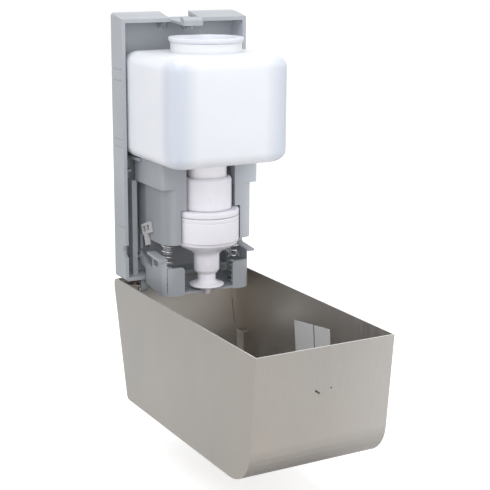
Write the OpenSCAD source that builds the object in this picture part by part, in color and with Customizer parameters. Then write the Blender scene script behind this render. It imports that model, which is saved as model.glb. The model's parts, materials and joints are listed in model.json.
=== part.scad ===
// Wall-mounted soap dispenser with its cover swung down, as for filling.
// X runs to the right, the wall is the plane Y = 0, the room is towards -Y, and Z is up.
// Heights below are measured from the foot of the backplate. on_wall() then moves every
// piece so that the origin is at the middle of the four wall screws.

/* [Backplate] */
// Width of the backplate
plate_w = 113; // [100:1:130]
// Height of the backplate at the wall
plate_h = 219.5; // [210:0.5:226]
// Depth of the backplate's side walls
plate_d = 21.5; // [18:0.5:25]
// Thickness of the backplate's side, top and foot walls
plate_wall = 3; // [2:0.1:3.2]
// Thickness of the backplate's back wall
plate_back = 3; // [2:0.1:3.2]
// Radius of the backplate's four outer corners
plate_corner_r = 3; // [1:0.5:5]
// Fall of the top wall from the wall to its front edge
plate_top_drop = 4.5; // [0:0.5:7]
// Width of the notch in the top wall
notch_w = 26.6; // [22:0.2:30]
// Height of the notch in the back wall
notch_h = 7; // [5:0.5:9]
// Radius of the half-round finger notch in each side wall
finger_r = 5.2; // [3:0.1:7]
// Height of the finger notches
finger_h = 25.5; // [20:0.5:60]
// Width of the shallow mould lines on the side walls
mould_line_w = 0.8; // [0.4:0.1:1.2]
// Depth of the shallow mould lines
mould_line_d = 0.3; // [0.1:0.1:0.6]
// Outer radius of the two small rings on the back wall
ring_r = 2.6; // [2:0.1:3]
// Radius of the recess in each ring
ring_in_r = 1.4; // [0.8:0.1:1.6]
// Height of the rings over the back wall
ring_d = 1.2; // [0.6:0.1:2]
// Distance of each ring from the middle
ring_x = 9; // [6:0.2:10]
// Fall of the rings below the plate's top
ring_drop = 12.5; // [12:0.1:16]

/* [Wall screws] */
// Radius of the wall screw holes
hole_r = 2.75; // [2:0.05:3.5]
// Distance between the left and right holes
hole_span_x = 50; // [40:1:60]
// Distance between the upper and lower holes
hole_span_z = 115; // [100:1:125]
// Fall of the upper holes below the plate's top
hole_drop = 39.5; // [36:0.5:50]
// Radius of the boss round each hole
hole_boss_r = 6; // [4.5:0.5:8]
// Height of the boss over the back wall
hole_boss_d = 2; // [1:0.1:2.4]

/* [Rails] */
// Distance of each rail's middle from the middle of the plate
rail_x = 44.2; // [43:0.1:46]
// Width of a rail
rail_w = 4.4; // [3:0.1:5]
// Depth of the rail's front face from the wall
rail_d = 14; // [12:0.5:16]
// Thickness of the small rib beside each rail
stay_t = 2; // [1:0.1:3]
// Height of the small rib
stay_h = 90; // [80:1:94]
// Depth of the small rib
stay_d = 9; // [5:0.5:14]

/* [Cover hinge] */
// Distance of the hinge line from the wall
hinge_y = 13; // [12:0.5:15]
// Fall of the hinge line below the foot of the backplate
hinge_drop = 7; // [6:0.5:8]
// Fall of the cover's rim below the foot of the backplate
rim_drop = 1; // [0.6:0.1:2]
// Radius of the hinge pins
hinge_pin_r = 2; // [1.5:0.1:2.5]
// Distance of each hinge lug's middle from the middle
lug_x = 38; // [34:0.5:39]
// Width of a hinge lug
lug_w = 6; // [4:0.5:7]
// Radius of a hinge lug round its pin
lug_r = 5; // [3.5:0.1:5.5]
// Thickness of the hinge ears on the cover
ear_t = 1.2; // [0.8:0.1:2]
// Radius of a hinge ear round its pin
ear_r = 4.5; // [3.5:0.1:5]
// Length of the ear's foot along the cover's rear wall
ear_foot = 14; // [8:0.5:18]
// Thickness of a hinge pin's head
pin_head_t = 1; // [0.6:0.1:1.5]
// How far a pin's head reaches beyond the pin
pin_head_lip = 1; // [0.5:0.1:1.5]

/* [Latch] */
// Thickness of the latch tongue
tongue_t = 2; // [1.2:0.1:3]
// Fall of the latch pin below the plate's top
latch_drop = 6.5; // [6.4:0.1:9]
// Radius of the latch pin
latch_pin_r = 1.2; // [0.8:0.1:1.4]
// Wall round the latch pin
latch_barrel_wall = 1; // [0.6:0.1:1.2]
// Reach of the tongue from the wall
tongue_reach = 36.5; // [34:0.5:38]
// Width of the tongue's nose
nose_w = 16.8; // [12:0.2:20]
// Length of the nose
nose_l = 7; // [5:0.5:9]
// Height of the nose
nose_h = 6.8; // [4:0.2:6.8]
// Length of the nose's front bevel
nose_bevel = 3.6; // [2:0.2:5]
// Fall of the tongue from root to nose
tongue_drop = 2.6; // [1:0.1:4]
// Radius of the small pin under the nose
nose_pin_r = 0.9; // [0.5:0.1:1.5]
// Length of the small pin
nose_pin_l = 2.4; // [1.5:0.1:2.6]

/* [Bottle bracket] */
// Width of the shelf
shelf_w = 87; // [84:0.5:92]
// Depth of the shelf's front edge from the wall
shelf_front = 66; // [64:0.5:72]
// Height of the shelf's top face
shelf_top = 104; // [100:0.5:106]
// Thickness of the shelf plate
shelf_plate = 2.5; // [1.8:0.1:3]
// Height of the shelf's skirt, plate included
shelf_skirt = 20.5; // [16:0.5:24]
// Radius of the shelf's front corners
shelf_corner_r = 3; // [1:0.5:6]
// Width of the bracket's body
body_w = 81; // [78:0.5:82]
// Depth of the body's rear edge from the wall
body_back = 28; // [24:0.5:29]
// Height of the body's lower face
body_low = 37.5; // [37:0.5:40]
// Radius of the body's front corners
body_corner_r = 11; // [6:0.5:12]
// Gap between the slot's upper part and the screw collar
collar_slot_gap = 1.6; // [1:0.1:3]
// Thickness of the bracket's walls
body_wall = 2.5; // [1.8:0.1:3]
// Height of the step where the slot widens
slot_step_h = 65.3; // [65.1:0.1:68]
// Thickness of the bracket's rear plate
rear_plate_t = 2.5; // [2:0.1:3]
// Foot of the rear plate
rear_plate_low = 24; // [23:0.5:30]
// Width of the window beside each web
window_w = 5.5; // [4:0.5:6]
// Height of the window
window_h = 17; // [12:1:20]
// Radius of the bracket screws' shanks
bracket_screw_r = 1.5; // [1:0.1:1.8]
// Radius of the bracket screws' heads
bracket_screw_head_r = 3; // [2.2:0.1:3.5]
// Length of the bracket screws
bracket_screw_l = 10; // [8:0.5:11]
// Height of the bracket screws' heads
bracket_screw_head_h = 2; // [1.2:0.1:2.5]
// Radius of the guide post inside each spring
post_r = 3.6; // [2.5:0.1:4]
// Length of the guide posts
post_l = 11; // [6:0.5:13]

/* [Snap clips] */
// Length of the clip's frame
clip_l = 17; // [14:0.5:20]
// Height of the clip's frame
clip_frame_h = 9; // [7:0.5:10]
// Width of the frame's bars
clip_bar = 2.2; // [1.5:0.1:3]
// Thickness of the clip
clip_t = 2.2; // [1.5:0.1:3]
// Width of the clip's stem
clip_stem_w = 6; // [4:0.5:8]
// Length of the clip's stem
clip_stem_l = 9; // [6:0.5:10]
// Height of the clip's middle
clip_h = 46.5; // [45:0.5:50]
// Distance of the clip's middle from the wall
clip_y = 33; // [31:0.5:38]
// Radius of the stud that holds the clip
clip_stud_r = 1.5; // [1:0.1:2]

/* [Bottle] */
// Gap between the bottle and the backplate's side walls
bottle_side_gap = 1.5; // [1:0.1:6]
// Depth of the bottle's back face from the wall
bottle_back = 6; // [5.4:0.1:8]
// Depth of the bottle's front face from the wall
bottle_front = 103; // [97:0.5:104]
// Fall of the filler neck's rim below the plate's top
neck_drop = 21.1; // [21:0.1:26]
// Radius of the bottle's upright edges
bottle_plan_r = 8; // [6:0.5:12]
// Radius of the bottle's upper and lower edges
bottle_edge_r = 9; // [6:0.5:14]
// Thickness of the bottle's wall
bottle_wall = 1.4; // [1:0.1:2]
// Outer radius of the filler neck
filler_r = 28.4; // [24:0.2:29.6]
// Height of the filler neck over the bottle
filler_h = 8.6; // [6:0.2:9]
// Outer radius of the outlet neck
outlet_r = 16.4; // [14:0.1:17]
// Length of the outlet neck under the bottle
outlet_l = 28; // [24:0.5:30]

/* [Filler cap] */
// Radius of the cap's flange
cap_r = 30; // [29:0.1:31]
// Thickness of the cap's flange
cap_t = 3.6; // [3:0.1:4]
// Radius of the recess in the cap
cap_recess_r = 23.5; // [18:0.5:25]
// Depth of the recess
cap_recess_d = 5; // [2:0.1:6]
// Thickness of the cap's floor and plug
cap_wall = 1.6; // [1:0.1:2]
// Length of the plug inside the neck
plug_l = 7; // [5:0.5:8]
// Thickness of the seal on the plug
cap_seal_t = 1; // [0.6:0.1:1.5]
// Height of the seal on the plug
cap_seal_h = 2; // [1:0.1:3]

/* [Pump] */
// Depth of the pump's axis from the wall
pump_y = 58; // [57:0.5:60]
// Radius of the screw collar
collar_r = 20.4; // [19:0.1:21.5]
// Height of the collar's foot
collar_low = 64.8; // [62.5:0.1:66]
// Height of the collar
collar_h = 26.2; // [24:0.1:27]
// Thickness of the collar's wall
collar_wall = 2.2; // [1.6:0.1:3]
// Radius of the collar's rounded shoulder
collar_round = 3; // [1:0.5:4]
// Radius of the lid ring and the bowl
bowl_r = 26.4; // [24:0.1:27]
// Height of the lid ring
lid_h = 5; // [4:0.1:6]
// Thickness of the lid
lid_t = 2.4; // [1.6:0.1:3]
// Height of the bowl's straight wall
bowl_h = 23.6; // [20:0.1:26]
// Height of the bowl's tapered foot
taper_h = 8; // [6:0.1:10]
// Radius at the end of the taper
taper_r = 12.6; // [12:0.1:16]
// Thickness of the bowl's wall
bowl_wall = 1.8; // [1.2:0.1:2.5]
// Width of the turned lines round the bowl
ring_line_w = 0.6; // [0.3:0.1:1]
// Depth of the turned lines
ring_line_d = 0.4; // [0.2:0.1:0.8]
// Outer radius of the lower cylinder
cyl_r = 10.5; // [9:0.1:12]
// Height of the lower cylinder
cyl_h = 17.4; // [14:0.1:19]
// Height of the chamfer at the cylinder's mouth
cyl_chamfer = 2.4; // [1:0.1:3]
// Thickness of the cylinder's wall
cyl_wall = 1.8; // [1.2:0.1:2]
// Outer radius of the stem
stem_r = 7.4; // [5:0.1:7.6]
// Length of the stem seen between the lower cylinder and the disc
stem_show = 5.9; // [5:0.1:7]
// Bore of the stem
stem_bore_r = 2.4; // [1.5:0.1:3.5]
// Radius of the nozzle disc
disc_r = 14.3; // [12:0.1:16]
// Height of the disc from its underside to the stem
disc_h = 5.4; // [4:0.1:7]
// Thickness of the disc at its rim
disc_rim = 1.8; // [1:0.1:2.5]
// Radius of the nozzle tip
tip_r = 3.1; // [2.4:0.1:4]
// Length of the nozzle tip under the disc
tip_l = 7; // [4:0.1:7.2]
// Thickness of the piston
piston_t = 2.4; // [1.5:0.1:3]
// Height of the piston's lip
piston_lip = 5; // [3:0.1:6]
// Thickness of the piston's lip
piston_lip_t = 1.2; // [0.8:0.1:1.5]
// Travel of the pump
pump_travel = 9.1; // [8:0.1:9.4]
// Radius of the rod inside the pump
rod_r = 3; // [2:0.1:3.5]
// Height of the piston on the rod
liquid_piston_h = 4; // [3:0.1:5]
// Radius of the inlet valve's ball
ball_r = 3; // [2:0.1:4]
// Outer radius of the inlet valve's seat
seat_r = 8; // [6:0.1:10]
// Height of the inlet valve's seat
cage_h = 12; // [9:0.5:14]
// Lip that holds the ball
cage_lip = 1; // [0.6:0.1:1.5]
// Thickness of the neck gasket
gasket_t = 1.6; // [1:0.1:2]
// Wire radius of the pump's return spring
pump_wire_r = 0.6; // [0.4:0.1:0.8]
// Coil radius of the pump's return spring, at the wire's middle
pump_coil_r = 11; // [9.4:0.1:14]
// Number of curls of the pump's return spring
pump_curls = 4; // [3:1:5]

/* [Push tray] */
// Width of the push tray
tray_w = 79; // [77:0.5:80]
// Depth of the tray's front face from the wall
tray_front = 62.5; // [61:0.5:64]
// Depth of the tray's rear edge from the wall
tray_back = 24; // [22:0.5:28]
// Radius of the tray's front corners
tray_corner_r = 9; // [5:0.5:11]
// Thickness of the tray's walls
tray_wall = 2.5; // [1.8:0.1:3]
// Depth of the tray's lower edge below the foot at its front
tray_low = 6.2; // [5.8:0.1:6.4]
// Height of the tray's lower edge at its rear
tray_rear_low = -2.4; // [-3:0.1:0]
// Thickness of the tray's floor
tray_floor_t = 1.8; // [1.2:0.1:2]
// Depth of the tray's floor below the foot of the backplate
tray_floor_drop = 3.4; // [3:0.1:3.8]
// Height of the tray's front flanges
tray_flange_h = 17.5; // [14:0.5:20]
// Width of the opening between the front flanges
tray_mouth_w = 44.6; // [38:0.2:48]
// Radius of the flanges' upper corners
tray_flange_r = 2.5; // [1:0.5:4]
// Height of the ledges at the front of the side walls
ledge_h = 25.4; // [24:0.1:26]
// Rise of the ledges towards the wall
ledge_rise = 2.4; // [0:0.1:3]
// Thickness of the ledges
ledge_t = 1.8; // [1:0.1:2.5]
// Reach of the ledges from the side walls' outer faces
ledge_reach = 4.5; // [3.5:0.1:4.7]
// Width of the ledges
ledge_w = 7.4; // [5:0.1:7.6]
// Depth of the ledges' rear end from the wall
ledge_back = 37; // [35:0.5:40]
// Height of the tray's side walls where they meet the pivot arms
wing_h = 16; // [15:0.5:18]
// How far the side walls fall from there to the ledges
wing_fall = 2.3; // [1:0.1:3]
// Distance of the tray's pivot from the wall
pivot_y = 10; // [9:0.1:10.5]
// Height of the tray's pivot
pivot_h = 18; // [16:0.5:20]
// Radius of the pivot pins
pivot_r = 2; // [1.5:0.1:2.5]
// Radius of the tray's arms round the pivot pins
arm_r = 4; // [3.5:0.1:4.2]
// Thickness of the tray's arms
arm_t = 2.5; // [1.8:0.1:2.5]
// Width of the slot for the nozzle in the tray's floor
nozzle_slot_w = 10; // [8:0.2:12]
// How far the slot's round end lies behind the pump's axis
nozzle_slot_back = 4.4; // [4:0.1:6]
// Width of the ribs beside the slot that carry the nozzle's disc
tray_rib_w = 2.5; // [1.5:0.1:3]
// Drop of the ribs' upper edges below the foot of the backplate
tray_rib_drop = 1.3; // [1.2:0.1:1.6]
// Length of the window in each side wall
tray_window_l = 8; // [5:0.5:9]
// Height of the window in each side wall
tray_window_h = 5; // [3:0.5:6]

/* [Tray springs] */
// Distance of each spring from the middle
spring_x = 30.6; // [30:0.1:31]
// Distance of the springs from the wall
spring_y = 47; // [46:0.1:48]
// Outer radius of the springs
spring_r = 5.2; // [4.8:0.1:5.4]
// Wire radius of the springs
wire_r = 0.6; // [0.4:0.05:0.8]
// Number of curls of each spring
spring_curls = 9; // [6:1:11]

/* [Cover] */
// Width of the cover
cover_w = 116; // [115:0.5:134]
// Length of the cover's rim
cover_l = 242; // [241:0.5:250]
// Depth of the cover
cover_d = 101; // [100:0.5:106]
// Thickness of the sheet
sheet_t = 1; // [0.8:0.1:1.2]
// Slant of the rear wall over the cover's depth
rear_slant = 23; // [20:0.5:25]
// Length of the upright part of the rear edge
rear_straight = 8; // [4:0.5:10]
// Slant of the end wall over the cover's depth
end_slant = 9.5; // [6:0.5:12]
// Radius of the long corner between floor and end wall
end_r = 30; // [20:0.5:34]
// Radius of the corner between floor and rear wall
rear_r = 5; // [3:0.5:8]
// Radius of the rolled upper edge of the rear wall, and of the side walls beside it
heel_r = 4.5; // [4:0.1:6]
// Distance of the rear edge from the wall
heel_gap = 0.5; // [0.3:0.1:2]
// Distance of the hinge ears' feet below the rim
ear_drop = 8; // [6:0.5:12]
// Radius of the opening under the nozzle
outlet_hole_r = 8.5; // [6:0.5:10]
// Length of the slanted key slot in the end wall
key_slot_l = 5.4; // [4:0.2:8]
// Width of the key slot
key_slot_w = 1.6; // [1.4:0.1:3]
// Distance of the key slot left of the middle
key_x = 5.4; // [4:0.2:8]
// Radius of the small hole beside the key slot
key_hole_r = 0.7; // [0.5:0.1:0.7]
// Distance of the small hole from the key slot
key_hole_x = 11.4; // [10:0.2:16]
// Height of the small hole over the key slot
key_hole_rise = 1.6; // [0:0.1:2]
// Distance of the key slot below the rim
key_drop = 34.5; // [30:0.5:44]
// Room round the key slot and the small hole in the keeper plate
key_room = 1; // [0.6:0.1:2]
// Width of the keeper plate
keeper_w = 34; // [30:1:40]
// Height of the keeper plate
keeper_h = 14; // [10:0.5:14.4]
// Fold of the keeper plate
keeper_fold = 3; // [2:0.1:3.4]

/* [Blank sticker] */
// Length of the larger blank sticker
label_l = 28.5; // [20:0.5:40]
// Height of the larger blank sticker
label_h = 30; // [16:1:34]
// Length of the smaller blank sticker
label_small_l = 22.6; // [16:0.2:30]
// Height of the smaller blank sticker
label_small_h = 24; // [10:1:28]
// Thickness of the stickers
label_t = 0.2; // [0.1:0.05:0.3]
// Gap between the two stickers
label_gap = 2; // [1:0.5:4]
// Radius of the stickers' corners
label_corner_r = 1.2; // [0.5:0.1:3]
// Distance of the stickers from the wall
label_y = 104.8; // [95:0.2:130]
// Distance of the stickers' rear upper corner below the backplate's foot
label_drop = 27; // [18:1:40]

/* [Push button] */
// Width of the push button
button_w = 70; // [50:1:76]
// Length of the push button
button_l = 40; // [34:1:44]
// Distance of the button's lower edge from the wall, with the cover down
button_y = 31; // [30:0.5:33]
// Thickness of the button's sheet
button_t = 1.2; // [0.8:0.1:1.5]
// How far the button stands proud of the cover
button_proud = 1.2; // [0.5:0.1:2]
// Radius of the button's corners
button_corner_r = 5; // [2:0.5:8]
// Height of the button's turned-up sides
button_lip = 5; // [4:0.1:7]
// Gap round the button
button_gap = 1; // [0.6:0.1:2]
// Radius of the button's pivot pin
button_pin_r = 1.5; // [1:0.1:2]
// Height of the pivot pin over the cover's floor
button_pin_h = 5; // [4.6:0.1:6]
// Radius of the ears round the pivot pin
button_ear_r = 3.2; // [2.4:0.1:3.6]
// Thickness of the ears round the pivot pin
button_ear_t = 1.2; // [0.8:0.1:1.5]
// Radius of the bosses that carry the cross frame
frame_boss_r = 3; // [2:0.1:4]
// Width of each arm
arm_strip_w = 6; // [4:0.2:6.4]
// Thickness of the arms and their frame
arm_strip_t = 1.2; // [0.8:0.1:1.5]
// Gap between each arm and the cover's side
arm_side_gap = 8.4; // [7:0.1:8.8]
// Distance of the arms from the wall, with the cover down
arm_strip_y = 33; // [32.4:0.2:35]
// Depth of the arms' tips below the rim
arm_tip_drop = 51; // [50:0.5:54]
// Length of the pad at each arm's tip
arm_pad_l = 9; // [7:0.1:9.2]
// Width of the cross frame
frame_l = 9; // [6:0.5:11]
// How far the pivot pin stands out past its ears
button_pin_over = 1; // [0.5:0.1:2]

/* [Fits] */
// Gap between faces that are seated on each other
seat_gap = 0.3; // [0.2:0.05:0.4]
// Running gap between a pin and its hole
run_gap = 0.05; // [0.02:0.01:0.1]
// Gap between sliding round faces
slide_gap = 0.3; // [0.2:0.05:0.4]
// Room left past the end of a travel
travel_gap = 1; // [0.6:0.1:1.4]

/* [Hidden] */
$fn = 72;
// Overrun of every cut, and of every piece sunk into its neighbour
cut = 1;
// Sides of a spring's wire, steps in one curl and steps in a rounded corner
wire_sides = 6;
curl_steps = 8;
corner_steps = 8;
// Shares of a piece's own size
ring_line_shares = [0.12, 0.84];
mould_line_shares = [0.207, 0.51, 0.538, 0.756, 0.797];
bracket_screw_share = 0.14;
nose_front_share = 0.34;
chamfer_share = 0.8;
// Tilts of the snap clips, the stickers and the key slot, and the angles of a half and a full turn
clip_tilt = 20;
label_tilt = 7;
key_tilt = -40;
half_turn = 180;
full_turn = 360;

// Backplate and rails
hole_low_h = plate_h - hole_drop - hole_span_z;
pattern_h = hole_low_h + hole_span_z / 2;
latch_h = plate_h - latch_drop;
plate_half = plate_w / 2;
plate_in = plate_half - plate_wall;
rail_in = rail_x - rail_w / 2;
rail_out = rail_x + rail_w / 2;
skirt_low = shelf_top - shelf_skirt;
rail_top = skirt_low - seat_gap;
rear_plate_y = plate_back + hole_boss_d + bracket_screw_head_r + seat_gap;
bracket_screw_x = shelf_w * bracket_screw_share;
bracket_screw_z = (slot_step_h + skirt_low) / 2;
barrel_r = latch_pin_r + latch_barrel_wall;
latch_y = plate_back + seat_gap + barrel_r;
cheek_low = latch_h - 3 * barrel_r;
notch_half = notch_w / 2;
tongue_half = notch_half - seat_gap * 2;
// Hinge and cover
hinge_h = -rim_drop - hinge_drop;
lug_in = lug_x - lug_w / 2;
lug_out = lug_x + lug_w / 2;
ear_in = lug_out + seat_gap;
ear_out = ear_in + ear_t;
cover_half = cover_w / 2;
cover_in = cover_half - sheet_t;
cover_low = -rim_drop - cover_d;
cover_floor = cover_low + sheet_t;
cover_knee = -rim_drop - rear_straight;
rear_stretch = norm([rear_slant, cover_d - rear_straight]) / (cover_d - rear_straight);
end_stretch = norm([end_slant, cover_d]) / cover_d;
key_h = -rim_drop - key_drop;
keeper_top = -tongue_reach - travel_gap + hinge_y + hinge_h;
cover_rear_y = heel_gap;
// Bracket
body_half = body_w / 2;
body_front = shelf_front;
shelf_half = shelf_w / 2;
web_x = body_half - 2 * body_wall;
slot_half = bowl_r + 2 * seat_gap;
slot_half_top = collar_r + collar_slot_gap;
// Bottle and pump, downwards
bottle_low = shelf_top + seat_gap;
bottle_w = plate_w - 2 * (plate_wall + bottle_side_gap);
neck_top = plate_h - neck_drop;
bottle_top = neck_top - filler_h;
neck_in = filler_r - bottle_wall;
cap_low = neck_top + seat_gap / 2;
cap_top = cap_low + cap_t;
plug_r = neck_in - slide_gap - cap_seal_t;
outlet_low = bottle_low - outlet_l;
outlet_in = outlet_r - collar_wall;
gasket_low = outlet_low - seat_gap / 2 - gasket_t;
spigot_r = collar_r - collar_wall - slide_gap;
collar_top = collar_low + collar_h;
lid_top = collar_low - seat_gap / 2;
lid_low = lid_top - lid_h;
bowl_top = lid_low - seat_gap;
bowl_low = bowl_top - bowl_h;
taper_low = bowl_low - taper_h;
bowl_in = bowl_r - bowl_wall;
cyl_low = taper_low - cyl_h;
piston_low = bowl_low + seat_gap;
piston_top = piston_low + piston_t;
piston_r = bowl_in - slide_gap;
cyl_in = cyl_r - cyl_wall;
cyl_floor = cyl_low + cyl_chamfer + cyl_wall;
liquid_low = piston_top + pump_travel + travel_gap;
liquid_out = cyl_in - slide_gap;
liquid_in = liquid_out - cyl_wall;
cage_low = lid_top + seat_gap / 2 + lid_t;
rod_top = liquid_low + liquid_piston_h + slide_gap;
// Nozzle
cone_top = cyl_low - stem_show;
disc_low = cone_top - disc_h;
tip_low = disc_low - tip_l;
// Push tray
tray_half = tray_w / 2;
tray_in = tray_half - tray_wall;
arm_out = tray_half - 2 * seat_gap;
arm_in = arm_out - arm_t;
tray_knee = spring_y - spring_r - seat_gap;
tray_floor_low = -tray_floor_drop - tray_floor_t;
coil_r = spring_r - wire_r;
spring_low = seat_gap / 2 - tray_floor_drop;
spring_top = body_low - seat_gap / 2;
// Push button
button_pin_y = button_y + button_l - button_ear_r;
button_pin_z = cover_floor + button_pin_h;
button_low = cover_low - button_proud;
button_half = button_w / 2;
button_ear_x = button_half + button_gap + seat_gap;
frame_y = button_y + 2 * button_t;
frame_z = cover_floor + 2 * seat_gap;
frame_half = cover_in - arm_side_gap;
arm_tip_z = -rim_drop - arm_tip_drop;

// Height of the plate's top and of the tray's ledges at a given distance from the wall
function plate_top(d) = plate_h - plate_top_drop * d / plate_d;
function ledge_at(d) = ledge_h + ledge_rise * (tray_front - d) / (tray_front - ledge_back);
// Distance of the cover's rear and end walls from the wall at a given height
function rear_at(z) = cover_rear_y + rear_slant * max(0, cover_knee - z) / (cover_d - rear_straight);
function end_at(z) = cover_l - end_slant * (-rim_drop - z) / cover_d;

// Corners [x, y, radius] turned into points, each radius as a true arc
function unit(v) = v / norm(v);
function corner_arc(a, p, b, r) =
    let (u = unit(a - p), v = unit(b - p), half = acos(u * v) / 2)
    let (centre = p + unit(u + v) * r / sin(half), turn = half_turn - 2 * half)
    let (start = p + u * r / tan(half) - centre, stop = p + v * r / tan(half) - centre)
    [for (i = [0:corner_steps])
        centre + (start * sin(turn * (1 - i / corner_steps)) + stop * sin(turn * i / corner_steps))
            / sin(turn)];
function flat(c) = [c[0], c[1]];
function rounded(corners) = let (n = len(corners))
    [for (i = [0:n - 1]) each (corners[i][2] == 0 ? [flat(corners[i])] :
        corner_arc(flat(corners[(i + n - 1) % n]), flat(corners[i]), flat(corners[(i + 1) % n]),
            corners[i][2]))];
function box_corners(x, y, r) = [[x[0], y[0], r], [x[1], y[0], r], [x[1], y[1], r], [x[0], y[1], r]];

// A cylindrical spring: one unbroken wire with upright ends
function coil_path(r, z, curls, wire) =
    let (n = curls * curl_steps, low = z[0] + 2 * wire, high = z[1] - 2 * wire)
    [[r, 0, z[0], 0], for (i = [0:n]) let (a = full_turn * i / curl_steps)
        [r * cos(a), r * sin(a), low + (high - low) * i / n, a], [r, 0, z[1], full_turn * curls]];
function path_at(path, i) = let (p = path[max(0, min(len(path) - 1, i))]) [p[0], p[1], p[2]];
function wire_ring(path, i, wire) =
    let (along = unit(path_at(path, i + 1) - path_at(path, i - 1)))
    let (out = [cos(path[i][3]), sin(path[i][3]), 0], side = unit(cross(along, out)))
    [for (k = [0:wire_sides - 1]) path_at(path, i)
        + wire * (out * cos(full_turn * k / wire_sides) + side * sin(full_turn * k / wire_sides))];
function least_gap(path, wire) = min([for (i = [0:len(path) - 1])
    for (j = [i + curl_steps / 2:1:len(path) - 1]) norm(path_at(path, i) - path_at(path, j))]) - 2 * wire;
module wire_coil(r, z, curls, wire) {
    path = coil_path(r, z, curls, wire);
    rings = len(path);
    walls = [for (i = [0:rings - 2]) for (k = [0:wire_sides - 1])
        let (a = i * wire_sides + k, b = i * wire_sides + (k + 1) % wire_sides)
        each [[a, a + wire_sides, b], [b, a + wire_sides, b + wire_sides]]];
    low_end = [for (k = [1:wire_sides - 2]) [0, k, k + 1]];
    high_end = [for (k = [1:wire_sides - 2]) [0, k + 1, k] + [1, 1, 1] * (rings - 1) * wire_sides];
    polyhedron([for (i = [0:rings - 1]) each wire_ring(path, i, wire)],
        [each walls, each low_end, each high_end]);
}

// Placing of pieces: distances from the wall are positive towards the room
module on_wall() translate([0, 0, -pattern_h]) children();
module pair() {
    children();
    mirror([1, 0, 0]) children();
}
module block(x, d, z) translate([x[0], -d[1], z[0]]) cube([x[1] - x[0], d[1] - d[0], z[1] - z[0]]);
module side_outline(x) translate([x[0], 0, 0]) rotate([90, 0, -90]) mirror([0, 0, 1])
    linear_extrude(x[1] - x[0]) children();
module front_outline(d) translate([0, -d[0], 0]) rotate([90, 0, 0]) linear_extrude(d[1] - d[0]) children();
module plan_outline(z) translate([0, 0, z[0]]) mirror([0, 1, 0]) linear_extrude(z[1] - z[0]) children();
module rod_x(r, x, d, z) translate([x[0], -d, z]) rotate([0, 90, 0]) cylinder(h = x[1] - x[0], r = r);
module rod_y(r, x, d, z) translate([x, -d[0], z]) rotate([90, 0, 0]) cylinder(h = d[1] - d[0], r = r);
module rod_z(r, x, d, z) translate([x, -d, z[0]]) cylinder(h = z[1] - z[0], r = r);
module turned() translate([0, -pump_y, 0]) rotate_extrude() children();
module tube(r, z) turned() polygon([[r[0], z[0]], [r[1], z[0]], [r[1], z[1]], [r[0], z[1]]]);

module plate_shell() difference() {
    intersection() {
        front_outline([0, plate_d]) polygon(rounded(box_corners([-plate_half, plate_half],
            [0, plate_h], plate_corner_r)));
        side_outline([-plate_w, plate_w])
            polygon([[0, 0], [plate_d, 0], [plate_d, plate_top(plate_d)], [0, plate_h]]);
    }
    side_outline([-plate_in, plate_in]) polygon([[plate_back, plate_wall], [plate_d + cut, plate_wall],
        [plate_d + cut, plate_top(plate_d + cut) - plate_wall],
        [plate_back, plate_top(plate_back) - plate_wall]]);
}

module hinge_lug() side_outline([lug_in, lug_out]) {
    translate([hinge_y, hinge_h]) circle(lug_r);
    translate([hinge_y - lug_r, hinge_h]) square([2 * lug_r, plate_wall / 2 - hinge_h]);
}

module latch_cheek() side_outline([notch_half, notch_half + plate_wall]) polygon([[0, cheek_low],
    [plate_back + plate_wall / 2, cheek_low], [plate_d - plate_wall, plate_top(plate_d) - plate_wall / 2],
    [0, plate_top(plate_d) - plate_wall / 2]]);

module wall_hole(r, d) for (x = [-1, 1], z = [0, 1])
    rod_y(r, x * hole_span_x / 2, d, hole_low_h + z * hole_span_z);

module backplate() color([0.66, 0.69, 0.72]) on_wall() difference() {
    union() {
        plate_shell();
        wall_hole(hole_boss_r, [0, plate_back + hole_boss_d]);
        pair() block([rail_in, rail_out], [0, rail_d], [0, rail_top]);
        pair() block([rail_x, plate_half - plate_wall / 2], [0, stay_d], [stay_h, stay_h + stay_t]);
        pair() hinge_lug();
        pair() rod_y(bracket_screw_head_r, bracket_screw_x, [0, rear_plate_y - seat_gap / 2],
            bracket_screw_z);
        pair() latch_cheek();
        pair() rod_y(ring_r, ring_x, [0, plate_back + ring_d], plate_h - ring_drop);
    }
    block([-notch_half, notch_half], [-cut, plate_d + cut], [plate_h - notch_h, plate_h + cut]);
    block([-notch_half, notch_half], [plate_back, plate_d + cut],
        [plate_top(plate_d) - 2 * plate_wall, plate_h + cut]);
    pair() rod_y(ring_in_r, ring_x, [plate_back, plate_d], plate_h - ring_drop);
    pair() rod_x(finger_r, [plate_in - cut, plate_half + cut], plate_d, finger_h);
    wall_hole(hole_r, [-cut, plate_d]);
    pair() rod_y(bracket_screw_r, bracket_screw_x, [-cut, plate_d], bracket_screw_z);
    pair() rod_x(pivot_r + run_gap, [rail_in - cut, rail_out + cut], pivot_y, pivot_h);
    pair() rod_x(hinge_pin_r + run_gap, [lug_in - cut, lug_out + cut], hinge_y, hinge_h);
    rod_x(latch_pin_r + run_gap, [-plate_in, plate_in], latch_y, latch_h);
    for (share = mould_line_shares) pair() block([plate_half - mould_line_d, plate_half + cut],
        [-cut, plate_d + cut], [plate_h * share, plate_h * share + mould_line_w]);
}

module hinge_pins() color([0.8, 0.8, 0.8]) on_wall() pair() {
    head_in = ear_out + seat_gap;
    rod_x(hinge_pin_r, [lug_in, head_in + pin_head_t], hinge_y, hinge_h);
    rod_x(hinge_pin_r + pin_head_lip, [head_in, head_in + pin_head_t], hinge_y, hinge_h);
}

module slot(half, z) {
    rod_z(half, 0, pump_y, z);
    block([-half, half], [pump_y, shelf_front + cut], z);
}

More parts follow.
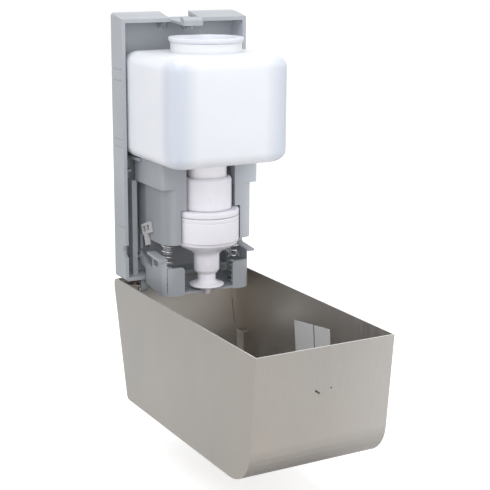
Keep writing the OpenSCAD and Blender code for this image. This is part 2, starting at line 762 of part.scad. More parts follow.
module bottle_bracket() color([0.64, 0.67, 0.7]) on_wall() difference() {
    union() {
        difference() {
            union() {
                plan_outline([skirt_low, shelf_top]) polygon(rounded([
                    [-shelf_half, rail_d, 0], [-shelf_half, shelf_front, shelf_corner_r],
                    [shelf_half, shelf_front, shelf_corner_r], [shelf_half, rail_d, 0]]));
                plan_outline([body_low, skirt_low + cut]) polygon(rounded([
                    [-body_half, body_back, 0], [-body_half, body_front, body_corner_r],
                    [body_half, body_front, body_corner_r], [body_half, body_back, 0]]));
            }
            pair() plan_outline([body_low + body_wall, shelf_top - shelf_plate]) polygon(rounded([
                [slot_half + body_wall, rail_d - cut, 0], [slot_half + body_wall, body_front - body_wall, 0],
                [web_x + body_wall, body_front - body_wall, body_corner_r - body_wall],
                [web_x + body_wall, rail_d - cut, 0]]));
        }
        block([-rail_out, rail_out], [plate_back + seat_gap, body_back],
            [shelf_top - shelf_plate, shelf_top]);
        block([-web_x - body_wall, web_x + body_wall], [rear_plate_y, rear_plate_y + rear_plate_t],
            [rear_plate_low, shelf_top]);
        pair() block([web_x, web_x + body_wall], [rear_plate_y, body_back + body_wall],
            [body_low, shelf_top]);
        pair() rod_z(post_r, spring_x, spring_y, [body_low - post_l, body_low + body_wall / 2]);
    }
    slot(slot_half, [body_low - post_l - cut, slot_step_h]);
    slot(slot_half_top, [slot_step_h - cut, shelf_top + cut]);
    pair() block([web_x - window_w, web_x], [rear_plate_y - cut, rear_plate_y + rear_plate_t + cut],
        [rear_plate_low - cut, rear_plate_low + window_h]);
    pair() rod_x(clip_stud_r + run_gap, [web_x, body_half + cut], clip_y, clip_h);
    pair() rod_y(bracket_screw_r, bracket_screw_x, [rear_plate_y - cut, rear_plate_y + rear_plate_t + cut],
        bracket_screw_z);
}

module bracket_screws() color([0.75, 0.75, 0.75]) on_wall() pair() {
    front = rear_plate_y + rear_plate_t;
    rod_y(bracket_screw_r, bracket_screw_x, [front - bracket_screw_l, front + bracket_screw_head_h],
        bracket_screw_z);
    rod_y(bracket_screw_head_r, bracket_screw_x, [front, front + bracket_screw_head_h], bracket_screw_z);
}

module clip_plate() {
    side_low = -clip_frame_h / 2;
    hole_l = (clip_l - 3 * clip_bar) / 2;
    difference() {
        union() {
            translate([0, -clip_l / 2, side_low]) cube([clip_t, clip_l, clip_frame_h]);
            translate([0, 0, side_low - clip_stem_l]) cube([clip_t, clip_stem_w, clip_stem_l + cut]);
        }
        for (end = [clip_bar - clip_l / 2, clip_bar / 2])
            translate([-cut, end, side_low + clip_bar])
                cube([clip_t + 2 * cut, hole_l, clip_frame_h - 2 * clip_bar]);
    }
}

module snap_clips() color([0.62, 0.63, 0.65]) on_wall() pair() {
    rod_x(clip_stud_r, [body_half - body_wall, body_half + seat_gap + cut], clip_y, clip_h);
    translate([body_half + seat_gap, -clip_y, clip_h]) rotate([-clip_tilt, 0, 0]) clip_plate();
}

// Rounded block of the bottle, inset by t
module bottle_block(t) {
    x = [t - bottle_w / 2, bottle_w / 2 - t];
    d = [bottle_back + t, bottle_front - t];
    z = [bottle_low + t, bottle_top - t];
    intersection() {
        plan_outline(z) polygon(rounded(box_corners(x, d, bottle_plan_r - t)));
        side_outline(x) polygon(rounded(box_corners(d, z, bottle_edge_r - t)));
        front_outline(d) polygon(rounded(box_corners(x, z, bottle_edge_r - t)));
    }
}

module bottle() color([0.94, 0.95, 0.98], 0.8) on_wall() difference() {
    union() {
        bottle_block(0);
        tube([0, filler_r], [bottle_top - cut, neck_top]);
        tube([0, outlet_r], [outlet_low, bottle_low + cut]);
    }
    bottle_block(bottle_wall);
    tube([0, neck_in], [bottle_top - bottle_edge_r, neck_top + cut]);
    tube([0, outlet_in], [outlet_low - cut, bottle_low + bottle_edge_r]);
}

module neck_gasket() color([0.3, 0.3, 0.32]) on_wall()
    tube([outlet_in, spigot_r], [gasket_low, gasket_low + gasket_t]);

module pump_collar() color([0.92, 0.91, 0.94]) on_wall() turned() polygon(rounded([
    [spigot_r + slide_gap, collar_low, 0], [collar_r, collar_low, 0], [collar_r, collar_top, collar_round],
    [outlet_r + slide_gap, collar_top, 0], [outlet_r + slide_gap, collar_top - collar_wall, 0],
    [spigot_r + slide_gap, collar_top - collar_wall, 0]]));

module pump_lid() color([0.92, 0.91, 0.94]) on_wall() {
    turned() polygon([[bowl_in, lid_low], [bowl_r, lid_low], [bowl_r, lid_top],
        [liquid_out + slide_gap, lid_top], [liquid_out + slide_gap, lid_top - lid_t],
        [bowl_in, lid_top - lid_t]]);
    tube([spigot_r - bowl_wall, spigot_r], [lid_top, gasket_low - seat_gap / 2]);
}

module pump_bowl() color([0.92, 0.91, 0.94]) on_wall() difference() {
    turned() polygon(rounded([[cyl_r + slide_gap, taper_low, 0], [taper_r, taper_low, 0],
        [bowl_r, bowl_low, bowl_wall], [bowl_r, bowl_top, 0], [bowl_in, bowl_top, 0], [bowl_in, bowl_low, 0],
        [cyl_r + slide_gap, taper_low + bowl_wall, 0]]));
    for (share = ring_line_shares) tube([bowl_r - ring_line_d, bowl_r + cut],
        [bowl_low + share * bowl_h, bowl_low + share * bowl_h + ring_line_w]);
}

module liquid_cylinder() color([0.88, 0.88, 0.9]) on_wall() {
    tube([liquid_in, liquid_out], [liquid_low, lid_top]);
    tube([liquid_in, liquid_out + cyl_wall], [lid_top, lid_top + lid_t]);
}

module inlet_cage() color([0.9, 0.9, 0.9]) on_wall() difference() {
    tube([0, seat_r], [cage_low, cage_low + cage_h]);
    tube([0, ball_r + slide_gap], [cage_low + bowl_wall, cage_low + cage_h - bowl_wall]);
    tube([0, ball_r - cage_lip], [cage_low - cut, cage_low + cage_h + cut]);
}

module inlet_ball() color([0.7, 0.7, 0.7]) on_wall()
    translate([0, -pump_y, cage_low + bowl_wall + ball_r + slide_gap / 2]) sphere(ball_r);

module filler_cap() color([0.96, 0.96, 0.98]) on_wall() difference() {
    union() {
        tube([0, cap_r], [cap_low, cap_top]);
        tube([0, plug_r], [cap_low - plug_l, cap_low + cut]);
    }
    tube([0, cap_recess_r], [cap_top - cap_recess_d, cap_top + cut]);
    tube([0, plug_r - cap_wall], [cap_low - plug_l - cut, cap_top - cap_recess_d - cap_wall]);
}

module cap_seal() color([0.85, 0.85, 0.88]) on_wall() {
    seal_low = cap_low - plug_l + cap_seal_t;
    tube([plug_r, plug_r + cap_seal_t], [seal_low, seal_low + cap_seal_h]);
}

module latch_tongue() color([0.7, 0.72, 0.74]) on_wall() difference() {
    tongue_low = latch_h - tongue_t / 2;
    nose_back = tongue_reach - nose_l;
    nose_low = tongue_low - tongue_drop;
    union() {
        intersection() {
            side_outline([-notch_w, notch_w]) polygon([[latch_y, tongue_low], [tongue_reach, nose_low],
                [tongue_reach, nose_low + tongue_t], [latch_y, tongue_low + tongue_t]]);
            plan_outline([nose_low - cut, latch_h + nose_h]) polygon([[-tongue_half, latch_y],
                [tongue_half, latch_y], [nose_w / 2, plate_d], [nose_w / 2, tongue_reach],
                [-nose_w / 2, tongue_reach], [-nose_w / 2, plate_d]]);
        }
        rod_x(barrel_r, [-tongue_half, tongue_half], latch_y, latch_h);
        side_outline([-nose_w / 2, nose_w / 2]) polygon([
            [nose_back, nose_low + cut], [tongue_reach, nose_low],
            [tongue_reach, nose_low + tongue_t + nose_h * nose_front_share],
            [tongue_reach - nose_bevel, nose_low + nose_h],
            [nose_back, nose_low + nose_h]]);
        rod_z(nose_pin_r, 0, (nose_back + tongue_reach) / 2, [nose_low - nose_pin_l, nose_low + cut]);
    }
    rod_x(latch_pin_r, [-notch_w, notch_w], latch_y, latch_h);
}

module latch_pin() color([0.8, 0.8, 0.8]) on_wall()
    rod_x(latch_pin_r, [-notch_half - plate_wall, notch_half + plate_wall], latch_y, latch_h);

module plunger() color([0.92, 0.91, 0.94]) on_wall() turned() polygon([
    [stem_r, cyl_low], [cyl_r - cyl_chamfer * chamfer_share, cyl_low],
    [cyl_r, cyl_low + cyl_chamfer], [cyl_r, piston_low], [cyl_in, piston_low],
    [cyl_in, cyl_floor], [stem_r, cyl_floor]]);

module liquid_piston() color([0.85, 0.87, 0.9]) on_wall() {
    tube([0, rod_r], [cyl_floor + seat_gap, rod_top]);
    tube([0, liquid_in - slide_gap], [rod_top - liquid_piston_h, rod_top]);
}

module air_piston() color([0.85, 0.87, 0.9]) on_wall() {
    tube([rod_r + slide_gap, piston_r], [piston_low, piston_top]);
    tube([piston_r - piston_lip_t, piston_r], [piston_top, piston_low + piston_lip]);
}

module nozzle_disc() color([0.95, 0.94, 0.96]) on_wall() difference() {
    union() {
        turned() polygon([[0, disc_low], [disc_r, disc_low], [disc_r, disc_low + disc_rim],
            [stem_r + disc_rim / 2, disc_low + 2 * disc_rim], [stem_r, disc_low + 3 * disc_rim],
            [stem_r, cyl_floor], [0, cyl_floor]]);
        turned() polygon([[0, tip_low], [tip_r, tip_low], [tip_r, disc_low], [0, disc_low]]);
    }
    tube([0, stem_bore_r], [tip_low - cut, cyl_floor + cut]);
}

module foam_screen() color([0.8, 0.8, 0.82]) on_wall()
    tube([0, stem_bore_r], [disc_low, disc_low + disc_rim]);

module pump_spring() color([0.75, 0.76, 0.78]) on_wall() translate([0, -pump_y, 0])
    wire_coil(pump_coil_r, [piston_top + seat_gap / 2, lid_top - lid_t - seat_gap / 2], pump_curls,
        pump_wire_r);

module tray_outline() polygon(rounded([[tray_back, tray_rear_low, 0],
    [tray_knee, tray_floor_low, 0], [tray_front, -tray_low, 0],
    [tray_front, tray_flange_h, 0], [tray_front - tray_wall, tray_flange_h, 0],
    [tray_front - tray_wall, ledge_at(tray_front), 0], [ledge_back, ledge_at(ledge_back), 0],
    [ledge_back, wing_h - wing_fall, 0], [tray_back, wing_h, 0]]));

module tray_arm() side_outline([arm_in, arm_out]) {
    translate([pivot_y, pivot_h]) circle(arm_r);
    polygon([[pivot_y, pivot_h + arm_r], [pivot_y, pivot_h - arm_r],
        [tray_back + tray_wall, wing_h - 2 * arm_r], [tray_back + tray_wall, wing_h - wing_fall / 2]]);
}

module tray_flange() front_outline([tray_front - tray_wall, tray_front]) polygon(rounded([
    [tray_mouth_w / 2, -tray_low, 0], [tray_half, -tray_low, 0], [tray_half, tray_flange_h, 0],
    [tray_mouth_w / 2, tray_flange_h, tray_flange_r]]));

module tray_ledge() side_outline([tray_half + ledge_reach - ledge_w, tray_half + ledge_reach]) polygon([
    [ledge_back, ledge_at(ledge_back) - ledge_t], [tray_front - tray_wall, ledge_at(tray_front) - ledge_t],
    [tray_front - tray_wall, ledge_at(tray_front)], [ledge_back, ledge_at(ledge_back)]]);

module push_tray() color([0.66, 0.69, 0.73]) on_wall() difference() {
    union() {
        intersection() {
            union() {
                pair() side_outline([tray_in, tray_half]) tray_outline();
                side_outline([-tray_half, tray_half]) polygon([[tray_back, tray_rear_low],
                    [tray_knee, tray_floor_low], [tray_front, tray_floor_low],
                    [tray_front, -tray_floor_drop], [tray_knee, -tray_floor_drop],
                    [tray_back, tray_rear_low + tray_floor_t]]);
                pair() tray_flange();
                pair() block([nozzle_slot_w / 2, nozzle_slot_w / 2 + tray_rib_w],
                    [pump_y - nozzle_slot_back, tray_front], [tray_floor_low, -tray_rib_drop]);
            }
            plan_outline([-tray_low - cut, ledge_h + 2 * ledge_rise]) polygon(rounded([
                [-tray_half, tray_back, 0], [-tray_half, tray_front, tray_corner_r],
                [tray_half, tray_front, tray_corner_r], [tray_half, tray_back, 0]]));
        }
        pair() tray_arm();
        pair() tray_ledge();
    }
    rod_z(nozzle_slot_w / 2, 0, pump_y - nozzle_slot_back, [-tray_low - cut, pivot_h]);
    block([-nozzle_slot_w / 2, nozzle_slot_w / 2], [pump_y - nozzle_slot_back, tray_front + cut],
        [-tray_low - cut, pivot_h]);
    pair() block([tray_in - cut, tray_half + cut],
        [ledge_back + tray_wall, ledge_back + tray_wall + tray_window_l],
        [ledge_h - 2 * ledge_t - tray_window_h, ledge_h - 2 * ledge_t]);
    pair() rod_x(pivot_r, [arm_in - cut, arm_out + cut], pivot_y, pivot_h);
}

module tray_pins() color([0.8, 0.8, 0.8]) on_wall()
    pair() rod_x(pivot_r, [arm_in, rail_out], pivot_y, pivot_h);

module tray_spring(x) color([0.72, 0.72, 0.72]) on_wall() translate([x, -spring_y, 0])
    wire_coil(coil_r, [spring_low, spring_top], spring_curls, wire_r);
module tray_spring_left() tray_spring(-spring_x);
module tray_spring_right() tray_spring(spring_x);

// Outline of the cover, inset by t, with the rear wall's upper edge rolled towards the room
module cover_outline(t) {
    low = cover_low + t;
    high = -rim_drop - t;
    polygon(rounded([[cover_rear_y + t, high, heel_r - t], [cover_rear_y + t, cover_knee, 0],
        [rear_at(low) + t * rear_stretch, low, rear_r - t], [end_at(low) - t * end_stretch, low, end_r - t],
        [end_at(high) - t * end_stretch, high, 0]]));
}

// The open top, from the rolled edge to the end wall
module cover_mouth() polygon([
    [cover_rear_y + heel_r, -rim_drop - 2 * sheet_t],
    [end_at(-rim_drop - 2 * sheet_t) - sheet_t * end_stretch, -rim_drop - 2 * sheet_t],
    [end_at(cut) - sheet_t * end_stretch, cut],
    [cover_rear_y + heel_r, cut]]);

module cover_shell() color([0.62, 0.6, 0.57]) on_wall() difference() {
    side_outline([-cover_half, cover_half]) cover_outline(0);
    side_outline([-cover_in, cover_in]) {
        cover_outline(sheet_t);
        cover_mouth();
    }
    rod_y(outlet_hole_r, 0, [-cut, rear_slant + 2 * sheet_t], hinge_y + hinge_h - pump_y);
    front_outline([end_at(cover_low), cover_l + cut]) translate([-key_x, key_h]) {
        rotate(key_tilt) polygon(rounded(box_corners(
            [-key_slot_l / 2, key_slot_l / 2], [-key_slot_w / 2, key_slot_w / 2], key_hole_r)));
        translate([key_hole_x, key_hole_rise]) circle(key_hole_r);
    }
    plan_outline([cover_low - cut, cover_floor + cut]) polygon(rounded(box_corners(
        [-button_half - button_gap, button_half + button_gap],
        [button_y - button_gap, button_y + button_l + button_gap], button_corner_r + button_gap)));
}

module hinge_ears() color([0.62, 0.6, 0.57]) on_wall() pair() difference() {
    foot_top = -rim_drop - ear_drop;
    foot_low = foot_top - ear_foot;
    side_outline([ear_in, ear_out]) {
        translate([hinge_y, hinge_h]) circle(ear_r);
        polygon([[hinge_y - ear_r, hinge_h], [rear_at(foot_top) + sheet_t * rear_stretch, foot_top],
            [rear_at(foot_low) + sheet_t * rear_stretch, foot_low], [hinge_y + ear_r, hinge_h]]);
    }
    rod_x(hinge_pin_r + run_gap, [ear_in - cut, ear_out + cut], hinge_y, hinge_h);
}

module lock_keeper() color([0.6, 0.58, 0.55]) on_wall() difference() {
    low = keeper_top - keeper_h;
    side_outline([-keeper_w / 2, keeper_w / 2]) polygon([
        [end_at(keeper_top) - sheet_t * end_stretch, keeper_top],
        [end_at(keeper_top) - (sheet_t + keeper_fold) * end_stretch, keeper_top],
        [end_at(keeper_top) - (sheet_t + keeper_fold) * end_stretch, keeper_top - sheet_t],
        [end_at(keeper_top) - 2 * sheet_t * end_stretch, keeper_top - sheet_t],
        [end_at(low) - 2 * sheet_t * end_stretch, low], [end_at(low) - sheet_t * end_stretch, low]]);
    rod_y(key_slot_l / 2 + key_room, -key_x, [end_at(cover_low), cover_l], key_h);
    rod_y(key_hole_r + key_room, key_hole_x - key_x, [end_at(cover_low), cover_l], key_h + key_hole_rise);
}

module button_ears() color([0.6, 0.58, 0.55]) on_wall() pair() difference() {
    side_outline([button_ear_x, button_ear_x + button_ear_t]) {
        translate([button_pin_y, button_pin_z]) circle(button_ear_r);
        translate([button_pin_y - button_ear_r, cover_floor]) square([2 * button_ear_r, button_pin_h]);
    }
    rod_x(button_pin_r + run_gap, [0, cover_half], button_pin_y, button_pin_z);
}

module sticker(start, l, h) side_outline([cover_in - label_t, cover_in]) translate([label_y, -label_drop])
    rotate(label_tilt) polygon(rounded(box_corners([start, start + l], [-h, 0], label_corner_r)));
module blank_sticker_large() color([0.93, 0.93, 0.92]) on_wall() sticker(0, label_l, label_h);
module blank_sticker_small() color([0.9, 0.9, 0.89]) on_wall()
    sticker(label_l + label_gap, label_small_l, label_small_h);

module push_button() color([0.63, 0.61, 0.58]) on_wall() difference() {
    union() {
        difference() {
            plan_outline([button_low, cover_floor + button_lip - sheet_t]) polygon(rounded(box_corners(
                [-button_half, button_half], [button_y, button_y + button_l], button_corner_r)));
            plan_outline([button_low + button_t, cover_floor + button_lip + cut]) polygon(rounded(box_corners(
                [button_t - button_half, button_half - button_t],
                [button_y + button_t, button_y + button_l - button_t], button_corner_r - button_t)));
        }
        pair() side_outline([button_half - button_t, button_half])
            translate([button_pin_y, button_pin_z]) circle(button_ear_r);
        pair() rod_z(frame_boss_r, button_half / 2, frame_y + frame_l / 2, [button_low, frame_z]);
    }
    block([-cover_half, cover_half], [frame_y - seat_gap, frame_y + frame_l + seat_gap], [frame_z, 0]);
    rod_x(button_pin_r + run_gap, [-cover_half, cover_half], button_pin_y, button_pin_z);
}

module button_frame() color([0.6, 0.58, 0.55]) on_wall()
    block([-frame_half, frame_half], [frame_y, frame_y + frame_l],
        [frame_z, frame_z + arm_strip_t]);

module button_arms() color([0.6, 0.58, 0.55]) on_wall() pair()
    side_outline([frame_half - arm_strip_w, frame_half]) polygon([
        [arm_strip_y + arm_strip_t, frame_z + arm_strip_t], [arm_strip_y, frame_z + arm_strip_t],
        [arm_strip_y, arm_tip_z], [arm_strip_y + arm_pad_l, arm_tip_z],
        [arm_strip_y + arm_pad_l, arm_tip_z - arm_strip_t],
        [arm_strip_y + arm_strip_t, arm_tip_z - arm_strip_t]]);

module button_pin() color([0.8, 0.8, 0.8]) on_wall() rod_x(button_pin_r,
    [-button_ear_x - button_ear_t - button_pin_over, button_ear_x + button_ear_t + button_pin_over],
    button_pin_y, button_pin_z);

echo(least_tray_spring_gap = least_gap(coil_path(coil_r, [spring_low, spring_top], spring_curls, wire_r),
    wire_r));
echo(least_pump_spring_gap = least_gap(coil_path(pump_coil_r, [piston_top, lid_top - lid_t], pump_curls,
    pump_wire_r), pump_wire_r));

backplate();
hinge_pins();
bottle_bracket();
bracket_screws();
snap_clips();
bottle();
neck_gasket();
pump_collar();
pump_lid();
pump_bowl();
liquid_cylinder();
inlet_cage();
inlet_ball();
filler_cap();
cap_seal();
latch_tongue();
latch_pin();
plunger();
liquid_piston();
air_piston();
nozzle_disc();
foam_screen();
pump_spring();
push_tray();
tray_pins();
tray_spring_left();
tray_spring_right();
cover_shell();
hinge_ears();
lock_keeper();
button_ears();
blank_sticker_large();
blank_sticker_small();
push_button();
button_frame();
button_arms();
button_pin();
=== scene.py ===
"""Looks of a wall-mounted soap dispenser with its steel cover swung down."""
import json
import math

import bmesh
import bpy
from mathutils import Matrix, Vector


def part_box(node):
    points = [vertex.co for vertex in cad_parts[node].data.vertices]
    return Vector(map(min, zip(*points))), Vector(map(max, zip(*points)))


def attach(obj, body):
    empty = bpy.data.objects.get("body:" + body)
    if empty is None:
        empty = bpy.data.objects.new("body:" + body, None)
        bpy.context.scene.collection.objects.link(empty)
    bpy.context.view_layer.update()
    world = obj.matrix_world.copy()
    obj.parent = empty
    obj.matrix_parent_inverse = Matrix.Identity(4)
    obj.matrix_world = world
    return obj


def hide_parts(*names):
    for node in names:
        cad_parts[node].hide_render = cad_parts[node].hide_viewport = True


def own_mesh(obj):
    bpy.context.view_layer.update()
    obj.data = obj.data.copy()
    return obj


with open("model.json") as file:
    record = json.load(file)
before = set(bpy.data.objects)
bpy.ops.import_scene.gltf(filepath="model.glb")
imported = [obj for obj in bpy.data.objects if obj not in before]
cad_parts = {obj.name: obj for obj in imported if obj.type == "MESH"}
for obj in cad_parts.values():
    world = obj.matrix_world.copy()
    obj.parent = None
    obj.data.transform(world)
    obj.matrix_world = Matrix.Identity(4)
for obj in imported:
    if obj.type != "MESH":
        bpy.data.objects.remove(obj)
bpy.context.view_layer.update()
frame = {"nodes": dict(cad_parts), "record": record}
nodes = frame["nodes"]
MM = 0.001

# Height of the wall screws' middle over the backplate's foot, in millimetres; heights start at that foot
PATTERN_H = 122.5


def at(x, depth, height):
    """A point from millimetres: right, away from the wall, and up from the backplate's foot."""
    return Vector((x * MM, -depth * MM, (height - PATTERN_H) * MM))


def height_of(node):
    """Lowest and highest point of a node, in millimetres over the backplate's foot."""
    low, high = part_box(node)
    return low.z / MM + PATTERN_H, high.z / MM + PATTERN_H


def depths_of(node):
    """Nearest and farthest point of a node from the wall, in millimetres."""
    low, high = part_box(node)
    return -high.y / MM, -low.y / MM


# Depth of the pump's axis, in millimetres
PUMP_Y = sum(depths_of("pump_collar")) / 2

# Bottle's body, in millimetres: half width, depths, heights, level edge and upright corner, then how much of
# each millimetre further in the corner loses, and the least that it keeps
BOTTLE_HALF_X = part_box("bottle")[1].x / MM
BOTTLE_DEPTHS = depths_of("bottle")
BOTTLE_HALF_Y = (BOTTLE_DEPTHS[1] - BOTTLE_DEPTHS[0]) / 2
BOTTLE_MID_Y = sum(BOTTLE_DEPTHS) / 2
BOTTLE_HEIGHTS = (104.3, 189.8)
BOTTLE_EDGE = 10.0
BOTTLE_CORNER = 10.0
BOTTLE_CORNER_LOSS = 0.3
BOTTLE_CORNER_LEAST = 4.0

# Bottle's filler neck, in millimetres: radius, wall, the round at its root and its lift over the body, height
# at which the straight wall starts, outer lip, inner lip across and down, and the bore's depth in the body
FILLER_R = 28.4
FILLER_WALL = 1.4
FILLER_ROOT = 1.6
FILLER_LIFT = 0.1
FILLER_FOOT = 2.2
FILLER_LIP = 0.5
FILLER_LIP_IN = (0.3, 0.4)
FILLER_BORE_DEPTH = 3.0

# Bottle's outlet neck, in millimetres: radius, wall, lips, the round at its root, the height between that
# round and the body, and the bore's depth
OUTLET_R = 16.4
OUTLET_WALL = 2.2
OUTLET_LIP = 0.6
OUTLET_ROOT = 2.2
OUTLET_GAP = 0.2
OUTLET_BORE_DEPTH = 6.0

# Roundings of turned corners, in millimetres, from a hardly broken edge to a full one
HAIR, FINE, SLIGHT, SOFT, BROAD, FULL = 0.1, 0.2, 0.3, 0.4, 0.6, 0.8
# Radius at which a turned piece with no bore ends, beside its axis, in millimetres
AXIS_GAP = 0.05
# Sides of a turned piece
TURNED_SIDES = 96

# Springs, in millimetres: place, coil radius, wire radius and turns
TRAY_SPRING_X = 30.6
TRAY_SPRING_Y = 47.0
TRAY_SPRING_R = 4.6
TRAY_WIRE_R = 0.55
TRAY_TURNS = 9
PUMP_SPRING_R = 11.0
PUMP_WIRE_R = 0.6
PUMP_TURNS = 4
# Angle at which the wire of the left and of the right tray spring starts, and the steps of a wire in one turn
TRAY_STARTS = (0.7, 2.0)
WIRE_STEPS = 28

# Camera, from the straight edges of the photograph
CAMERA_AT = Vector((-0.4617, -0.946, 0.275 - PATTERN_H * MM))
CAMERA_AZIMUTH = math.radians(-29.281)
CAMERA_ELEVATION = math.radians(13.597)
CAMERA_ROLL = math.radians(0.31)
FOCAL_PX = 1252.3
PHOTO_PX = 490
SENSOR_MM = 36.0

# Colours of the plastics
GREY = (0.41, 0.433, 0.465)
# Painted shade: darker copies of the grey for the bracket and the tray
BRACKET_SHADED_GREY = (0.345, 0.366, 0.395)
TRAY_SHADED_GREY = (0.365, 0.387, 0.415)
CLIP_GREY = (0.45, 0.45, 0.46)
BOTTLE_WHITE = (0.78, 0.80, 0.85)
# Bluish painted shade for the bottle's upright corners
BOTTLE_CORNER_SHADE = (0.58, 0.62, 0.70)
# Painted light for the bottle's filler neck and outlet neck
NECK_PAINTED_LIGHT = (0.95, 0.96, 0.97)
OUTLET_PAINTED_LIGHT = (0.99, 0.95, 0.99)
CAP_WHITE = (0.68, 0.70, 0.76)
PUMP_WHITE = (0.86, 0.84, 0.90)
NATURAL_WHITE = (0.7, 0.72, 0.76)
SEAL_BLACK = (0.03, 0.03, 0.032)
STICKER_WHITE = (0.66, 0.67, 0.69)

# Colours of the metals
STEEL = (0.47, 0.443, 0.415)
INNER_STEEL = (0.62, 0.6, 0.57)
SPRING_STEEL = (0.8, 0.79, 0.77)
PIN_STEEL = (0.6, 0.6, 0.6)
ARM_STEEL = (0.75, 0.74, 0.72)
# Painted highlight on the cover's rims
RIM_HIGHLIGHT_STEEL = (0.86, 0.85, 0.83)
# Painted light inside the cover's right wall and floor
INSIDE_PAINTED_LIGHT = (0.85, 0.84, 0.83)
WELD_BROWN = (0.085, 0.058, 0.036)
# Steel round the cover, from the wall along its left side, then along its end: cool, warm, then a painted
# highlight
STEEL_TONES_AND_HIGHLIGHT = [(0.0, (0.41, 0.403, 0.39)), (0.25, (0.41, 0.39, 0.365)), (0.5, (0.405, 0.37, 0.335)),
               (0.75, (0.43, 0.402, 0.374)), (1.0, (0.55, 0.526, 0.505))]

# The part of a noise's range that is used
NOISE_LOW, NOISE_HIGH = 0.3, 0.7

# Moulded plastic: scales of its cloud, gloss and grain, the grain's depth and strength, and the cloud's share
CLOUD_SCALE = 22.0
GLOSS_SCALE = 60.0
GRAIN = 2600.0
GRAIN_DEPTH = 0.03 * MM
GRAIN_STRENGTH = 0.25
CLOUD = 0.05
GLOSS_SPREAD = (-0.05, 0.07)
# The grain of a smoother moulding, its depth and its cloud's share
FINE_GRAIN = 1500.0
FINE_DEPTH = 0.01 * MM
FINE_CLOUD = 0.02
# How light spreads under a milky surface: its reach for red, green and blue, and the reach's size
SPREAD_RADIUS = (1.0, 0.9, 0.8)
SPREAD_SIZE = 12 * MM

# Brushed sheet: scales and shares of its lines and stains, and how far stains turn each colour warm or cool
LINE_SCALE = 900.0
LINE_SHARE = 0.45
LINE_STRENGTH = 0.3
LINE_DEPTH = 0.02 * MM
STAIN_SCALE = 9.0
STAIN_STRETCH = (1.0, 1.0, 0.6)
STAIN_SHARE = 0.55
STAIN = 0.06
WARM_SHARES = (1.0, 0.7, 0.3)
COOL_SHARES = (1.0, 0.7, 0.5)
STEEL_STOPS = (0.35, 0.65)
METAL_GLOSS_SPREAD = (-0.06, 0.08)
EVEN = (1.0, 1.0, 1.0)


def add_camera():
    """The photograph's viewpoint: a place, three angles and a focal length in the photograph's pixels."""
    ca, sa = math.cos(CAMERA_AZIMUTH), math.sin(CAMERA_AZIMUTH)
    ce, se = math.cos(CAMERA_ELEVATION), math.sin(CAMERA_ELEVATION)
    cr, sr = math.cos(CAMERA_ROLL), math.sin(CAMERA_ROLL)
    right = Vector((ca, sa, 0.0))
    back = Vector((sa * ce, -ca * ce, se))
    up = back.cross(right)
    turn = Matrix((cr * right + sr * up, cr * up - sr * right, back)).transposed().to_4x4()
    data = bpy.data.cameras.new("camera")
    data.sensor_width = SENSOR_MM
    data.lens = FOCAL_PX * SENSOR_MM / PHOTO_PX
    camera = bpy.data.objects.new("camera", data)
    camera.matrix_world = Matrix.Translation(CAMERA_AT) @ turn
    bpy.context.scene.collection.objects.link(camera)
    bpy.context.scene.camera = camera


def new_material(name, colour, roughness, metallic=0.0):
    """A principled material, its node tree and its shader."""
    mat = bpy.data.materials.new(name)
    mat.use_nodes = True
    shader = mat.node_tree.nodes["Principled BSDF"]
    shader.inputs["Base Color"].default_value = (*colour, 1.0)
    shader.inputs["Roughness"].default_value = roughness
    shader.inputs["Metallic"].default_value = metallic
    return mat, mat.node_tree, shader


def feed(tree, socket, value):
    """Links a socket to another one, or sets it to a number or a colour."""
    if isinstance(value, bpy.types.NodeSocket):
        tree.links.new(value, socket)
    else:
        socket.default_value = value


def maths(tree, operation, *values):
    """A maths node; each value is a socket or a number."""
    node = tree.nodes.new("ShaderNodeMath")
    node.operation = operation
    for socket, value in zip(node.inputs, values):
        feed(tree, socket, value)
    return node.outputs[0]


def product(tree, first, *others):
    """All the values multiplied."""
    for other in others:
        first = maths(tree, "MULTIPLY", first, other)
    return first


def excess(tree, first, second, soft):
    """Nothing while the first value is the lesser, rising to one as it passes the second by a soft border."""
    rise = maths(tree, "DIVIDE", maths(tree, "SUBTRACT", first, second), soft)
    return maths(tree, "MAXIMUM", maths(tree, "MINIMUM", rise, 1.0), 0.0)


def above(tree, value, low, soft):
    """Nothing up to a limit, rising to one over a soft border."""
    return excess(tree, value, low, soft)


def below(tree, value, high, soft):
    """Nothing from a limit up, and one from a soft border under it down."""
    return excess(tree, high, value, soft)


def between(tree, value, low, high, soft):
    """One between two limits, with a soft border inside each."""
    return maths(tree, "MINIMUM", above(tree, value, low, soft), below(tree, value, high, soft))


def surface_axes(tree):
    """A point's place, and which way it faces, each as sockets named X, Y and Z."""
    coords = tree.nodes.new("ShaderNodeTexCoord")
    axes = []
    for kind in ("Object", "Normal"):
        split = tree.nodes.new("ShaderNodeSeparateXYZ")
        tree.links.new(coords.outputs[kind], split.inputs[0])
        axes.append(split.outputs)
    return axes


def object_coords(tree, scale):
    """Object coordinates, stretched by a scale for each axis."""
    coords = tree.nodes.new("ShaderNodeTexCoord")
    mapping = tree.nodes.new("ShaderNodeMapping")
    mapping.inputs["Scale"].default_value = scale
    tree.links.new(coords.outputs["Object"], mapping.inputs["Vector"])
    return mapping.outputs["Vector"]


def noise(tree, vector, scale, detail=3.0, roughness=0.5):
    """A noise's value along a vector."""
    node = tree.nodes.new("ShaderNodeTexNoise")
    node.inputs["Scale"].default_value = scale
    node.inputs["Detail"].default_value = detail
    node.inputs["Roughness"].default_value = roughness
    tree.links.new(vector, node.inputs["Vector"])
    return node.outputs["Fac"]


def ramp(tree, value, stops):
    """A colour ramp; each stop is (place, colour)."""
    node = tree.nodes.new("ShaderNodeValToRGB")
    elements = node.color_ramp.elements
    while len(elements) < len(stops):
        elements.new(0.5)
    for element, (place, colour) in zip(elements, stops):
        element.position = place
        element.color = (*colour, 1.0)
    tree.links.new(value, node.inputs["Fac"])
    return node.outputs["Color"]


